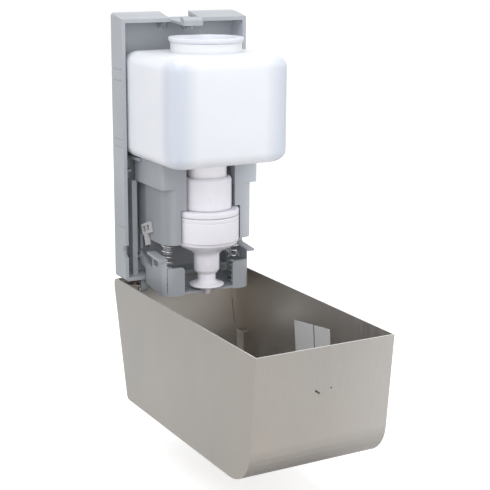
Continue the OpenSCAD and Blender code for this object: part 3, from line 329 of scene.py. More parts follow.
def uneven_gloss(tree, shader, value, roughness, spread):
    """Lets the roughness follow a noise, from a little under its value to a little over it."""
    node = tree.nodes.new("ShaderNodeMapRange")
    node.inputs["From Min"].default_value = NOISE_LOW
    node.inputs["From Max"].default_value = NOISE_HIGH
    node.inputs["To Min"].default_value = roughness + spread[0]
    node.inputs["To Max"].default_value = roughness + spread[1]
    tree.links.new(value, node.inputs["Value"])
    tree.links.new(node.outputs["Result"], shader.inputs["Roughness"])


def bump(tree, shader, value, strength, distance):
    """Roughens the surface by a value."""
    node = tree.nodes.new("ShaderNodeBump")
    node.inputs["Strength"].default_value = strength
    node.inputs["Distance"].default_value = distance
    tree.links.new(value, node.inputs["Height"])
    tree.links.new(node.outputs["Normal"], shader.inputs["Normal"])


def tint(colour, factor):
    """A colour made lighter or darker."""
    return tuple(min(1.0, c * factor) for c in colour)


def mix_into(tree, shader, share, colour):
    """Mixes a colour into the shader's colour by a share; either may be a socket."""
    mix = tree.nodes.new("ShaderNodeMix")
    mix.data_type = "RGBA"
    base, over = [socket for socket in mix.inputs if socket.type == "RGBA"]
    result = [socket for socket in mix.outputs if socket.type == "RGBA"][0]
    feed(tree, mix.inputs[0], share)
    tree.links.new(shader.inputs["Base Color"].links[0].from_socket, base)
    feed(tree, over, colour if isinstance(colour, bpy.types.NodeSocket) else (*colour, 1.0))
    tree.links.new(result, shader.inputs["Base Color"])


def plastic(name, colour, roughness, grain=GRAIN, depth=GRAIN_DEPTH, cloud=CLOUD, milky=0.0):
    """Moulded plastic: a faint cloud in its colour, a fine spark-eroded grain and slightly uneven gloss."""
    mat, tree, shader = new_material(name, colour, roughness)
    coords = object_coords(tree, EVEN)
    clouds = ramp(tree, noise(tree, coords, CLOUD_SCALE, detail=4.0),
                  [(NOISE_LOW, tint(colour, 1.0 - cloud)), (NOISE_HIGH, tint(colour, 1.0 + cloud))])
    tree.links.new(clouds, shader.inputs["Base Color"])
    uneven_gloss(tree, shader, noise(tree, coords, GLOSS_SCALE), roughness, GLOSS_SPREAD)
    bump(tree, shader, noise(tree, coords, grain, detail=2.0), GRAIN_STRENGTH, depth)
    if milky:
        shader.inputs["Subsurface Weight"].default_value = milky
        shader.inputs["Subsurface Radius"].default_value = SPREAD_RADIUS
        shader.inputs["Subsurface Scale"].default_value = SPREAD_SIZE
    return mat, tree, shader


def brushed(name, colour, roughness, lines, stain=STAIN):
    """Brushed sheet: fine lines along one way, broad soft stains, and gloss that follows the lines."""
    mat, tree, shader = new_material(name, colour, roughness, metallic=1.0)
    fine = noise(tree, object_coords(tree, lines), LINE_SCALE, detail=4.0, roughness=0.7)
    broad = noise(tree, object_coords(tree, STAIN_STRETCH), STAIN_SCALE)
    mixed = maths(tree, "ADD", product(tree, fine, LINE_SHARE), product(tree, broad, STAIN_SHARE))
    cool = tuple(c * (1.0 - stain * share) for c, share in zip(colour, COOL_SHARES))
    warm = tuple(c * (1.0 + stain * share) for c, share in zip(colour, WARM_SHARES))
    tree.links.new(ramp(tree, mixed, list(zip(STEEL_STOPS, (cool, warm)))), shader.inputs["Base Color"])
    uneven_gloss(tree, shader, fine, roughness, METAL_GLOSS_SPREAD)
    bump(tree, shader, fine, LINE_STRENGTH, LINE_DEPTH)
    return mat, tree, shader


def milky_plastic():
    """Blown bottle plastic: milky, with a bluish painted shade where the wall curves round a corner, and
    painted light on its necks.
    """
    mat, tree, shader = plastic("bottle_plastic", BOTTLE_WHITE, roughness=0.33, grain=900.0,
                                depth=0.02 * MM, cloud=FINE_CLOUD, milky=0.35)
    place, _ = surface_axes(tree)
    across = maths(tree, "DIVIDE", maths(tree, "ABSOLUTE", place["X"]), BOTTLE_HALF_X * MM)
    from_middle = maths(tree, "ADD", place["Y"], BOTTLE_MID_Y * MM)
    along = maths(tree, "DIVIDE", maths(tree, "ABSOLUTE", from_middle), BOTTLE_HALF_Y * MM)
    # Bluish painted shade on the bottle's upright corners
    mix_into(tree, shader, above(tree, product(tree, across, along), low=0.56, soft=0.3), BOTTLE_CORNER_SHADE)
    body_low, body_high = (at(0, 0, height).z for height in BOTTLE_HEIGHTS)
    # Painted light on the filler neck above the body and on the outlet neck below it
    mix_into(tree, shader, above(tree, place["Z"], low=body_high + MM, soft=2 * MM), NECK_PAINTED_LIGHT)
    mix_into(tree, shader, below(tree, place["Z"], high=body_low - MM, soft=MM), OUTLET_PAINTED_LIGHT)
    return mat


# Backplate's painted shade and light, as factors of its grey: shade on its left side low down, light on its
# inner right face and on its top
PLATE_SIDE_SHADE, PLATE_INNER_LIGHT, PLATE_TOP_LIGHT = 0.86, 1.5, 1.12
# Depths of those faces from the backplate's own left, right and top
PLATE_SIDE_T, PLATE_INNER_T, PLATE_TOP_T = 3 * MM, 12 * MM, 1 * MM
# Height under which the backplate's left side takes its painted shade, in millimetres, and how far down the
# shade deepens
PLATE_SHADE_TOP = 90.0
PLATE_SHADE_FADE = 35 * MM


def plate_painted_shading():
    """The backplate's grey: painted shade low on its left side, painted light on its top and on its inner
    right face.
    """
    mat, tree, shader = plastic("plate_painted_shading", GREY, roughness=0.42)
    place, facing = surface_axes(tree)
    low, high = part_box("backplate")
    leftward = below(tree, facing["X"], high=-0.4, soft=0.3)
    left_side = below(tree, place["X"], high=low.x + PLATE_SIDE_T, soft=MM)
    low_down = below(tree, place["Z"], high=at(0, 0, PLATE_SHADE_TOP).z, soft=PLATE_SHADE_FADE)
    mix_into(tree, shader, product(tree, leftward, left_side, low_down), tint(GREY, PLATE_SIDE_SHADE))
    inner_right = above(tree, place["X"], low=high.x - PLATE_INNER_T, soft=4 * MM)
    mix_into(tree, shader, product(tree, leftward, inner_right), tint(GREY, PLATE_INNER_LIGHT))
    top = above(tree, place["Z"], low=high.z - PLATE_TOP_T, soft=0.5 * MM)
    mix_into(tree, shader, top, tint(GREY, PLATE_TOP_LIGHT))
    return mat


# Bracket's painted shade and light, as factors of its grey: shade on its left-facing sides, light on the
# right of its front
BRACKET_SIDE_SHADE, BRACKET_FRONT_LIGHT = 0.76, 1.75
# Height of the foot of the bracket's shelf skirt, in millimetres: its left-facing sides carry painted shade
# below it
SKIRT_LOW = 83.5
# Where the painted light on the bracket's front starts, right of the middle, and how far on it is brightest
FRONT_LIGHT_FROM = 15 * MM
FRONT_LIGHT_OVER = 30 * MM


def bracket_painted_shading():
    """The bracket's grey, a darker copy standing for painted shade: more painted shade on its left-facing
    sides, painted light toward the right of its front.
    """
    mat, tree, shader = plastic("bracket_painted_shading", BRACKET_SHADED_GREY, roughness=0.42)
    place, facing = surface_axes(tree)
    leftward = below(tree, facing["X"], high=-0.4, soft=0.3)
    under_skirt = below(tree, place["Z"], high=at(0, 0, SKIRT_LOW).z, soft=MM)
    mix_into(tree, shader, product(tree, leftward, under_skirt), tint(BRACKET_SHADED_GREY, BRACKET_SIDE_SHADE))
    forward = below(tree, facing["Y"], high=-0.3, soft=0.3)
    to_right = above(tree, place["X"], low=FRONT_LIGHT_FROM, soft=FRONT_LIGHT_OVER)
    mix_into(tree, shader, product(tree, forward, to_right), tint(BRACKET_SHADED_GREY, BRACKET_FRONT_LIGHT))
    return mat


# Cover's tones, painted light and painted shade: how strongly each is mixed in, and how dark the two painted
# shades are against its steel
TONE_AND_HIGHLIGHT_SHARE, UNDER_SHADE_SHARE, INNER_FLOOR_LIGHT_SHARE, FOOT_SHADE_SHARE, WELD_SHARE = 0.6, 0.7, 0.4, 0.55, 0.85
UNDER_SHADE, FOOT_SHADE = 0.5, 0.6
# Radius of the cover's end round, depth of the rims' painted highlight, height over the underside at which
# the inner floor's painted light and the foot's painted shade end, and the foot's soft border
END_ROUND = 30 * MM
RIM_T = 2 * MM
INNER_FLOOR_LIGHT_TOP = 40 * MM
FOOT_SHADE_TOP = 12 * MM
FOOT_SHADE_FADE = 45 * MM
# The weld's heat line: how far it lies in from the cover's right side, its two sides from there, how far
# under the cover's top it starts and ends, its greatest depth from the wall, and how much it wavers
WELD_IN = 6.5 * MM
WELD_SIDES = (0.2 * MM, 1.3 * MM)
WELD_DROPS = (56 * MM, 25 * MM)
WELD_DEPTH = 16 * MM
WELD_WOBBLE = 1.2 * MM
WOBBLE_SCALE = 300.0


def cover_tones_and_highlight(tree, place, low, high):
    """The steel's tone round the cover, along its left side from the wall, then along its end, ending in a
    painted highlight at the end's right.
    """
    depth = maths(tree, "SUBTRACT", high.y, place["Y"])
    along = maths(tree, "DIVIDE", depth, 2 * (high.y - low.y))
    from_left = maths(tree, "SUBTRACT", place["X"], low.x)
    across = maths(tree, "DIVIDE", from_left, 2 * (high.x - low.x))
    return ramp(tree, maths(tree, "ADD", along, across), STEEL_TONES_AND_HIGHLIGHT)


def under_end_shade(tree, place, facing, low):
    """Painted shade on the underside of the cover's end round, apart from its side walls."""
    low_down = below(tree, place["Z"], high=low.z + END_ROUND, soft=END_ROUND)
    not_sideways = below(tree, maths(tree, "ABSOLUTE", facing["X"]), high=0.5, soft=0.1)
    near_end = below(tree, place["Y"], high=low.y + 1.4 * END_ROUND, soft=END_ROUND)
    return product(tree, low_down, not_sideways, near_end, UNDER_SHADE_SHARE)


def rim_highlight(tree, place, facing, high):
    """Painted highlight on the cut rims on top of the cover's walls."""
    upward = above(tree, facing["Z"], low=0.5, soft=0.3)
    return product(tree, upward, above(tree, place["Z"], low=high.z - RIM_T, soft=MM))


def inner_right_light(tree, place, facing, low, high):
    """Painted light on the inside of the cover's right wall, less toward the wall behind."""
    length = high.y - low.y
    inward = below(tree, facing["X"], high=-0.4, soft=0.2)
    right = above(tree, place["X"], low=0.8 * high.x, soft=2 * MM)
    room_side = below(tree, place["Y"], high=low.y + 0.9 * length, soft=0.8 * length)
    return product(tree, inward, right, room_side)


def inner_floor_light(tree, place, facing, low):
    """Painted light on the inside of the cover's floor."""
    upward = above(tree, facing["Z"], low=0.4, soft=0.3)
    low_down = below(tree, place["Z"], high=low.z + INNER_FLOOR_LIGHT_TOP, soft=10 * MM)
    return product(tree, upward, low_down, INNER_FLOOR_LIGHT_SHARE)


def end_foot_shade(tree, place, facing, low):
    """Painted shade on the foot of the cover's walls where they face the room, strongest at the underside."""
    forward = below(tree, facing["Y"], high=-0.3, soft=0.3)
    low_down = below(tree, place["Z"], high=low.z + FOOT_SHADE_TOP, soft=FOOT_SHADE_FADE)
    return product(tree, forward, low_down, FOOT_SHADE_SHARE)


def weld_line(tree, place, facing, high):
    """A wavering upright line on the cover's rear wall, beside its right side."""
    wobble = product(tree, noise(tree, object_coords(tree, EVEN), WOBBLE_SCALE), WELD_WOBBLE)
    near, far = (high.x - WELD_IN + side for side in WELD_SIDES)
    foot, top = (high.z - drop for drop in WELD_DROPS)
    line = between(tree, maths(tree, "ADD", place["X"], wobble), low=near, high=far, soft=0.5 * MM)
    upright = between(tree, place["Z"], low=foot, high=top, soft=8 * MM)
    rear = above(tree, place["Y"], low=high.y - WELD_DEPTH, soft=MM)
    forward = below(tree, facing["Y"], high=-0.3, soft=0.2)
    return product(tree, line, upright, rear, forward, WELD_SHARE)


def cover_steel():
    """The cover's steel: brushed upright, toned round the box with a painted highlight toward the end's
    right, painted highlights on its rims, painted shade under its end and low on its room-facing walls,
    painted light inside its right wall and on its inner floor, and a weld's line.
    """
    mat, tree, shader = brushed("brushed_steel", STEEL, roughness=0.34, lines=(1.0, 1.0, 0.012), stain=0.2)
    place, facing = surface_axes(tree)
    low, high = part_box("cover_shell")
    mix_into(tree, shader, TONE_AND_HIGHLIGHT_SHARE, cover_tones_and_highlight(tree, place, low, high))
    mix_into(tree, shader, under_end_shade(tree, place, facing, low), tint(STEEL, UNDER_SHADE))
    mix_into(tree, shader, rim_highlight(tree, place, facing, high), RIM_HIGHLIGHT_STEEL)
    mix_into(tree, shader, inner_right_light(tree, place, facing, low, high), INSIDE_PAINTED_LIGHT)
    mix_into(tree, shader, inner_floor_light(tree, place, facing, low), INSIDE_PAINTED_LIGHT)
    mix_into(tree, shader, end_foot_shade(tree, place, facing, low), tint(STEEL, FOOT_SHADE))
    mix_into(tree, shader, weld_line(tree, place, facing, high), WELD_BROWN)
    return mat


def make_materials():
    """Every material, by the name of its slot or of the piece that differs from its slot."""
    smooth = {"grain": FINE_GRAIN, "depth": FINE_DEPTH, "cloud": FINE_CLOUD, "milky": 0.15}
    paper = {"grain": 3500.0, "depth": FINE_DEPTH, "cloud": 0.03}
    upright, across = (1.0, 1.0, 0.02), (0.05, 1.0, 1.0)
    return {
        "grey_plastic": plastic("grey_plastic", GREY, roughness=0.42)[0],
        "plate_painted_shading": plate_painted_shading(),
        "bracket_painted_shading": bracket_painted_shading(),
        # The tray's darker grey is painted shade
        "tray_shaded_plastic": plastic("tray_shaded_plastic", TRAY_SHADED_GREY, roughness=0.42)[0],
        "cap_plastic": plastic("cap_plastic", CAP_WHITE, roughness=0.35, **smooth)[0],
        "clip_plastic": plastic("clip_plastic", CLIP_GREY, roughness=0.45)[0],
        "bottle_plastic": milky_plastic(),
        "white_plastic": plastic("white_plastic", PUMP_WHITE, roughness=0.3, **smooth)[0],
        "natural_plastic": plastic("natural_plastic", NATURAL_WHITE, roughness=0.35)[0],
        "brushed_steel": cover_steel(),
        "inner_steel": brushed("inner_steel", INNER_STEEL, roughness=0.26, lines=upright)[0],
        "spring_steel": brushed("spring_steel", SPRING_STEEL, roughness=0.2, lines=EVEN, stain=0.1)[0],
        "pin_steel": brushed("pin_steel", PIN_STEEL, roughness=0.25, lines=across)[0],
        "arm_steel": brushed("arm_steel", ARM_STEEL, roughness=0.3, lines=upright)[0],
        "seal_rubber": plastic("seal_rubber", SEAL_BLACK, roughness=0.6)[0],
        "sticker_paper": plastic("sticker_paper", STICKER_WHITE, roughness=0.5, **paper)[0],
    }


# Nodes whose material differs a little from the rest of their slot: painted light and shade on the backplate,
# bracket and tray, and a steel of their own for the button's arms
NODE_MATERIALS = {"backplate": "plate_painted_shading", "bottle_bracket": "bracket_painted_shading",
                  "push_tray": "tray_shaded_plastic", "button_arms": "arm_steel"}
# Width of the small rounding on the edges of each slot's nodes, in millimetres
EDGE_MM = {"grey_plastic": 0.45, "clip_plastic": 0.3, "white_plastic": 0.4, "natural_plastic": 0.3,
           "brushed_steel": 0.22, "inner_steel": 0.2, "pin_steel": 0.2, "bottle_plastic": 0.4}
EDGE_STEPS = 2
# Edges that turn by more than the first angle are rounded, and those under the second are shaded smooth
ROUND_ANGLE = math.radians(32)
SMOOTH_ANGLE = math.radians(12)


def round_smoother():
    """A geometry node group that shades smooth across gentle edges and leaves the others sharp."""
    group = bpy.data.node_groups.new("smooth_rounds", "GeometryNodeTree")
    for in_out in ("INPUT", "OUTPUT"):
        group.interface.new_socket("Geometry", in_out=in_out, socket_type="NodeSocketGeometry")
    start = group.nodes.new("NodeGroupInput")
    end = group.nodes.new("NodeGroupOutput")
    edge_angle = group.nodes.new("GeometryNodeInputMeshEdgeAngle")
    compare = group.nodes.new("FunctionNodeCompare")
    compare.data_type = "FLOAT"
    compare.operation = "LESS_THAN"
    compare.inputs["B"].default_value = SMOOTH_ANGLE
    edges = group.nodes.new("GeometryNodeSetShadeSmooth")
    edges.domain = "EDGE"
    faces = group.nodes.new("GeometryNodeSetShadeSmooth")
    faces.domain = "FACE"
    group.links.new(start.outputs[0], edges.inputs[0])
    group.links.new(edge_angle.outputs["Unsigned Angle"], compare.inputs["A"])
    group.links.new(compare.outputs["Result"], edges.inputs["Shade Smooth"])
    group.links.new(edges.outputs[0], faces.inputs[0])
    group.links.new(faces.outputs[0], end.inputs[0])
    return group


def soften_edges(obj, width, smoother):
    """Small moulded or deburred rounds on a node's edges, and smooth shading over its large ones."""
    rounding = obj.modifiers.new("edges", "BEVEL")
    rounding.width = width
    rounding.segments = EDGE_STEPS
    rounding.limit_method = "ANGLE"
    rounding.angle_limit = ROUND_ANGLE
    rounding.harden_normals = False
    smoothing = obj.modifiers.new("smooth_rounds", "NODES")
    smoothing.node_group = smoother
    weighting = obj.modifiers.new("weighted", "WEIGHTED_NORMAL")
    weighting.keep_sharp = True


def dress_nodes():
    """Gives each node its own material or its slot's, and its edges their small rounding."""
    smoother = round_smoother()
    for row in frame["record"]["subparts"]:
        obj = nodes[row["node"]]
        slot = row["material_slot"]
        obj.data.materials.clear()
        obj.data.materials.append(materials[NODE_MATERIALS.get(row["node"], slot)])
        if slot in EDGE_MM:
            soften_edges(obj, EDGE_MM[slot] * MM, smoother)


def finish_piece(obj, body, slot, node, finish=None):
    """Lets a piece stand for a node, on its body and with its slot's finish or one of its own."""
    obj.data.materials.append(materials[finish or slot])
    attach(obj, body)
    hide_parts(node)


def mesh_object(name, points, faces):
    """A smooth-shaded mesh in the scene, its faces turned outward."""
    mesh = bpy.data.meshes.new(name)
    mesh.from_pydata([tuple(p) for p in points], [], faces)
    mesh.validate()
    bm = bmesh.new()
    bm.from_mesh(mesh)
    bmesh.ops.recalc_face_normals(bm, faces=bm.faces)
    bm.to_mesh(mesh)
    bm.free()
    for face in mesh.polygons:
        face.use_smooth = True
    obj = bpy.data.objects.new(name, mesh)
    bpy.context.scene.collection.objects.link(obj)
    return obj


def ring_faces(rows, count, closed):
    """Faces between neighbouring rings of points, and from the last ring to the first if closed."""
    faces = []
    for row in range(rows if closed else rows - 1):
        here, there = row * count, (row + 1) % rows * count
        for k in range(count):
            after = (k + 1) % count
            faces.append((here + k, here + after, there + after, there + k))
    return faces


def loft(name, rings):
    """A closed skin through rings of equal length, capped at both ends."""
    count = len(rings[0])
    last = (len(rings) - 1) * count
    caps = [tuple(range(count))[::-1], tuple(last + k for k in range(count))]
    points = [p for ring in rings for p in ring]
    return mesh_object(name, points, ring_faces(len(rings), count, closed=False) + caps)


def lathe(name, profile):
    """A turned piece round the pump's axis; the profile is a closed loop of (radius, height)."""
    turns = [2 * math.pi * k / TURNED_SIDES for k in range(TURNED_SIDES)]
    points = [at(r * math.cos(a), PUMP_Y + r * math.sin(a), z) for r, z in profile for a in turns]
    return mesh_object(name, points, ring_faces(len(profile), TURNED_SIDES, closed=True))


def rounded_profile(corners, steps=5):
    """Profile points (radius, height) from corners (radius, height, rounding)."""
    out = []
    for i, (r, z, rounding) in enumerate(corners):
        if rounding == 0 or i in (0, len(corners) - 1):
            out.append((r, z))
            continue
        p = Vector((r, z))
        u = (Vector(corners[i - 1][:2]) - p).normalized()
        v = (Vector(corners[i + 1][:2]) - p).normalized()
        half = math.acos(max(-1.0, min(1.0, u.dot(v)))) / 2
        centre = p + (u + v).normalized() * rounding / math.sin(half)
        start = p + u * rounding / math.tan(half) - centre
        stop = p + v * rounding / math.tan(half) - centre
        turn = math.pi - 2 * half
        for k in range(steps + 1):
            t = k / steps
            q = centre + (start * math.sin(turn * (1 - t)) + stop * math.sin(turn * t)) / math.sin(turn)
            out.append((q.x, q.y))
    return out


# Angle that the bottle's crowded directions cover at each upright corner, and the steps there and beside it
CORNER_REACH = 0.26
CORNER_STEPS = 8
SIDE_STEPS = 7
# Halvings of the search for a rounded rectangle's edge along a direction
HALVINGS = 40
# Half of a flat that a neck's ring keeps between its corners, in millimetres
NECK_FLAT = 0.001
# Steps of the round at a neck's root, and of the round along the body's level edges
NECK_STEPS = 5
EDGE_TURN_STEPS = 9


def bottle_angles():
    """Directions round the bottle, crowded at its upright corners."""
    turn = math.atan2(BOTTLE_HALF_Y, BOTTLE_HALF_X)
    first, last = turn - CORNER_REACH / 2, turn + CORNER_REACH / 2
    quarter = [first * k / SIDE_STEPS for k in range(SIDE_STEPS)]
    quarter += [first + CORNER_REACH * k / CORNER_STEPS for k in range(CORNER_STEPS + 1)]
    quarter += [last + (math.pi / 2 - last) * k / SIDE_STEPS for k in range(1, SIDE_STEPS)]
    full = [a for b in quarter for a in (b, math.pi - b, math.pi + b, 2 * math.pi - b)]
    return sorted({round(a % (2 * math.pi), 6) for a in full})


def bottle_ring(half_x, half_y, corner, centre_y, z, angles):
    """A rounded rectangle met along fixed directions, so that rings of any shape join up."""
    ring = []
    for a in angles:
        c, s = math.cos(a), math.sin(a)
        low, high = 0.0, half_x + half_y
        for _ in range(HALVINGS):
            mid = (low + high) / 2
            qx = abs(mid * c) - (half_x - corner)
            qy = abs(mid * s) - (half_y - corner)
            if math.hypot(max(qx, 0.0), max(qy, 0.0)) + min(max(qx, qy), 0.0) < corner:
                low = mid
            else:
                high = mid
        ring.append(at(low * c, centre_y + low * s, z))
    return ring


def neck_ring(r, z, angles):
    """A ring of a neck, round but for flats too small to see."""
    return bottle_ring(r, r, r - NECK_FLAT, PUMP_Y, z, angles)


def body_ring(inset, z, angles):
    """A ring of the bottle's body; the farther in it lies, the smaller its upright corners are."""
    corner = max(BOTTLE_CORNER - BOTTLE_CORNER_LOSS * inset, BOTTLE_CORNER_LEAST)
    return bottle_ring(BOTTLE_HALF_X - inset, BOTTLE_HALF_Y - inset, corner, BOTTLE_MID_Y, z, angles)


def quarter_turns(steps):
    """Sine and cosine along a quarter turn."""
    angles = [k / steps * math.pi / 2 for k in range(steps + 1)]
    return [(math.sin(a), math.cos(a)) for a in angles]


def outlet_profile():
    """Radii and heights of the outlet neck, from inside its bore to its root under the body."""
    low, root = height_of("bottle")[0], BOTTLE_HEIGHTS[0] - OUTLET_GAP - OUTLET_ROOT
    bore = OUTLET_R - OUTLET_WALL
    neck = [(bore, low + OUTLET_BORE_DEPTH), (bore, low + OUTLET_LIP), (bore + OUTLET_LIP, low),
            (OUTLET_R - OUTLET_LIP, low), (OUTLET_R, low + OUTLET_LIP), (OUTLET_R, root)]
    return neck + [(OUTLET_R + OUTLET_ROOT * (1 - cosine), root + OUTLET_ROOT * sine)
                   for sine, cosine in quarter_turns(NECK_STEPS)[1:-1]]


def body_profile():
    """Insets and heights of the bottle's body, from its underside to its top."""
    low, high = BOTTLE_HEIGHTS
    turns = quarter_turns(EDGE_TURN_STEPS)
    foot = [(BOTTLE_EDGE * (1 - sine), low + BOTTLE_EDGE * (1 - cosine)) for sine, cosine in turns]
    straight = high - low - 2 * BOTTLE_EDGE
    sides = [(0, low + BOTTLE_EDGE + straight * share) for share in (0.25, 0.5, 0.75)]
    top = [(BOTTLE_EDGE * (1 - cosine), high - BOTTLE_EDGE * (1 - sine)) for sine, cosine in turns]
    return foot + sides + top


def filler_profile():
    """Radii and heights of the filler neck, from its root on the body to the foot of its bore."""
    foot, high = BOTTLE_HEIGHTS[1], height_of("bottle")[1]
    bore = FILLER_R - FILLER_WALL
    root = [(FILLER_R + FILLER_ROOT * (1 - cosine), foot + FILLER_LIFT + FILLER_ROOT * (1 - sine))
            for sine, cosine in quarter_turns(NECK_STEPS)[-2:0:-1]]
    return root + [(FILLER_R, foot + FILLER_FOOT), (FILLER_R, high - FILLER_LIP),
                   (FILLER_R - FILLER_LIP, high), (bore + FILLER_LIP_IN[0], high),
                   (bore, high - FILLER_LIP_IN[1]), (bore, foot - FILLER_BORE_DEPTH)]


def add_bottle():
    """Milky bottle: flat faces, soft upright corners, filler neck above and outlet neck below."""
    angles = bottle_angles()
    rings = [neck_ring(r, z, angles) for r, z in outlet_profile()]
    rings += [body_ring(inset, z, angles) for inset, z in body_profile()]
    rings += [neck_ring(r, z, angles) for r, z in filler_profile()]
    finish_piece(loft("bottle_skin", rings), "base", "bottle_plastic", "bottle")


def add_cap():
    """Filler cap with a rounded flange, a dished middle and a plug."""
    low, high = height_of("filler_cap")
    plug, plug_bore = 25.6, 24.0
    flange, flange_t, flange_foot, bevel = 30.0, 3.6, 29.0, 1.4
    mouth, dish, dish_flat, recess, floor_t = 23.9, 22.4, 21.0, 5.0, 1.6
    floor, under = high - recess, high - recess - floor_t
    flange_low = high - flange_t
    profile = [(AXIS_GAP, under)] + rounded_profile([
        (plug_bore, under, 0), (plug_bore, low, 0), (plug, low, 0), (plug, flange_low, 0),
        (flange_foot, flange_low, FINE), (flange, flange_low + bevel, BROAD), (flange, high, FULL),
        (mouth, high, 0.7), (dish, floor, 1.2), (dish_flat, floor, 0)]) + [(AXIS_GAP, floor)]
    finish_piece(lathe("filler_cap_turned", profile), "cap", "white_plastic", "filler_cap", "cap_plastic")


def add_collar():
    """Pump collar: a screw ring with a broad shoulder, open for the pump."""
    low, high = height_of("pump_collar")
    outer, bore, mouth, hole = 20.4, 18.3, 17.4, 16.75
    bevel_in, bevel_up, shoulder, roof, sink = 0.5, 0.8, 3.0, 2.2, 1.0
    profile = rounded_profile([
        (bore, low, 0), (outer - bevel_in, low, SLIGHT), (outer, low + bevel_up, SLIGHT),
        (outer, high, shoulder), (mouth, high, BROAD), (hole, high - sink, 0), (hole, high - roof, 0),
        (bore, high - roof, 0)])
    finish_piece(lathe("collar_turned", profile), "base", "white_plastic", "pump_collar")


def add_lid():
    """Lid ring over the bowl: a rounded brim, a shallow step and the spigot inside the collar."""
    low, spigot_top = height_of("pump_lid")
    outer, bore, step_r, step_in, step_up = 26.4, 24.7, 21.6, 0.4, 0.3
    spigot, spigot_bore, stem_hole = 17.9, 16.1, 8.75
    height, brim, bevel_in, bevel_up, roof = 5.0, 1.4, 0.6, 0.8, 2.4
    top = low + height
    profile = rounded_profile([
        (bore, low, 0), (outer - bevel_in, low, SLIGHT), (outer, low + bevel_up, SOFT), (outer, top, brim),
        (step_r, top, SLIGHT), (step_r - step_in, top - step_up, HAIR), (spigot, top - step_up, 0),
        (spigot, spigot_top, 0), (spigot_bore, spigot_top, 0), (spigot_bore, top, 0), (stem_hole, top, 0),
        (stem_hole, top - roof, 0), (bore, top - roof, 0)])
    finish_piece(lathe("lid_turned", profile), "base", "white_plastic", "pump_lid")


def add_bowl():
    """Pump bowl: a straight wall with turned lines, then a stepped, rounded foot."""
    low, high = height_of("pump_bowl")
    outer, bore, stem_bore = 26.4, 24.6, 10.8
    boss, boss_in, boss_up = 12.6, 0.4, 1.2
    cone, cone_drop, cone_round, ledge, ledge_drop = 21.6, 2.4, 2.2, 22.4, 1.6
    belly, belly_up, belly_round, waist, waist_up = 25.2, 0.4, 1.6, 25.4, 2.6
    line_in, step_up, step_top = 0.4, 2.9, 3.4
    groove = {"top": 3.1, "roof": 3.3, "floor": 3.8, "foot": 4.0}
    foot = low + 8.0
    profile = rounded_profile([
        (stem_bore, low, 0), (boss - boss_in, low, SOFT), (boss, low + boss_up, BROAD),
        (cone, foot - cone_drop, cone_round), (ledge, foot - ledge_drop, SLIGHT),
        (belly, foot + belly_up, belly_round), (waist, foot + waist_up, SOFT),
        (outer - line_in, foot + step_up, FINE), (outer, foot + step_top, SLIGHT),
        (outer, high - groove["foot"], FINE), (outer - line_in, high - groove["floor"], HAIR),
        (outer - line_in, high - groove["roof"], HAIR), (outer, high - groove["top"], FINE),
        (outer, high, FULL), (bore, high, 0), (bore, foot + 2.0, 0), (stem_bore, low + 2.2, 0)])
    finish_piece(lathe("bowl_turned", profile), "base", "white_plastic", "pump_bowl")


def add_plunger():
    """Plunger: a tube with a rounded nose, closed round the stem."""
    low, high = height_of("plunger")
    outer, bore, stem, nose, nose_h, nose_round, floor = 10.5, 8.7, 7.4, 8.6, 2.4, 1.2, 4.2
    profile = rounded_profile([
        (stem, low, 0), (nose, low, SOFT), (outer, low + nose_h, nose_round), (outer, high, 0),
        (bore, high, 0), (bore, low + floor, 0), (stem, low + floor, 0)])
    finish_piece(lathe("plunger_turned", profile), "plunger", "white_plastic", "plunger")


def add_disc():
    """Nozzle disc: a dished plate flaring from the stem, with the bored tip under it."""
    low, high = height_of("nozzle_disc")
    bore, tip, tip_in, tip_up, stem, rim = 2.4, 3.1, 0.2, 0.6, 7.4, 14.3
    disc = low + 7.0
    under = [(6.0, disc - 0.6, 1.0), (11.0, disc, 1.2), (13.6, disc + 0.1, SOFT)]
    edge = [(rim, disc + 0.9, 0.5), (rim - 0.2, disc + 1.8, 0.5)]
    flare = [(10.0, disc + 2.9, 3.0), (7.8, disc + 4.4, 1.6), (stem, disc + 5.6, SOFT)]
    profile = rounded_profile([
        (bore, low, 0), (tip - tip_in, low, FINE), (tip, low + tip_up, FINE), (tip, disc - 1.2, BROAD),
        *under, *edge, *flare, (stem, high, 0), (bore, high, 0)])
    finish_piece(lathe("disc_turned", profile), "plunger", "white_plastic", "nozzle_disc")


def spring_wire(name, x, depth, radius, wire, heights, turns, start=0.0):
    """A coil of even pitch between two heights, as one unbroken round wire."""
    low, high = heights
    total = turns * WIRE_STEPS
    curve = bpy.data.curves.new(name, "CURVE")
    curve.dimensions = "3D"
    curve.bevel_depth = wire * MM
    curve.bevel_resolution = 3
    curve.use_fill_caps = True
    spline = curve.splines.new("POLY")
    spline.points.add(total)
    for i, point in enumerate(spline.points):
        a = 2 * math.pi * i / WIRE_STEPS + start
        height = low + wire + (high - low - 2 * wire) * i / total
        point.co = (*at(x + radius * math.cos(a), depth + radius * math.sin(a), height), 1.0)
    spline.use_smooth = True
    path = bpy.data.objects.new(name, curve)
    bpy.context.scene.collection.objects.link(path)
    mesh = bpy.data.meshes.new_from_object(path.evaluated_get(bpy.context.evaluated_depsgraph_get()))
    solid = bpy.data.objects.new(name, mesh)
    bpy.context.scene.collection.objects.link(solid)
    bpy.data.objects.remove(path)
    return solid


def add_tray_springs():
    """The two springs between the bracket and the tray, each a coil of wire over its node's height."""
    for side, node, start in zip((-1, 1), ("tray_spring_left", "tray_spring_right"), TRAY_STARTS):
        low, high = height_of(node)
        spring = spring_wire(node + "_wire", side * TRAY_SPRING_X, TRAY_SPRING_Y, TRAY_SPRING_R,
                             TRAY_WIRE_R, (low, high), TRAY_TURNS, start)
        finish_piece(spring, "base", "spring_steel", node)
        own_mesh(spring)


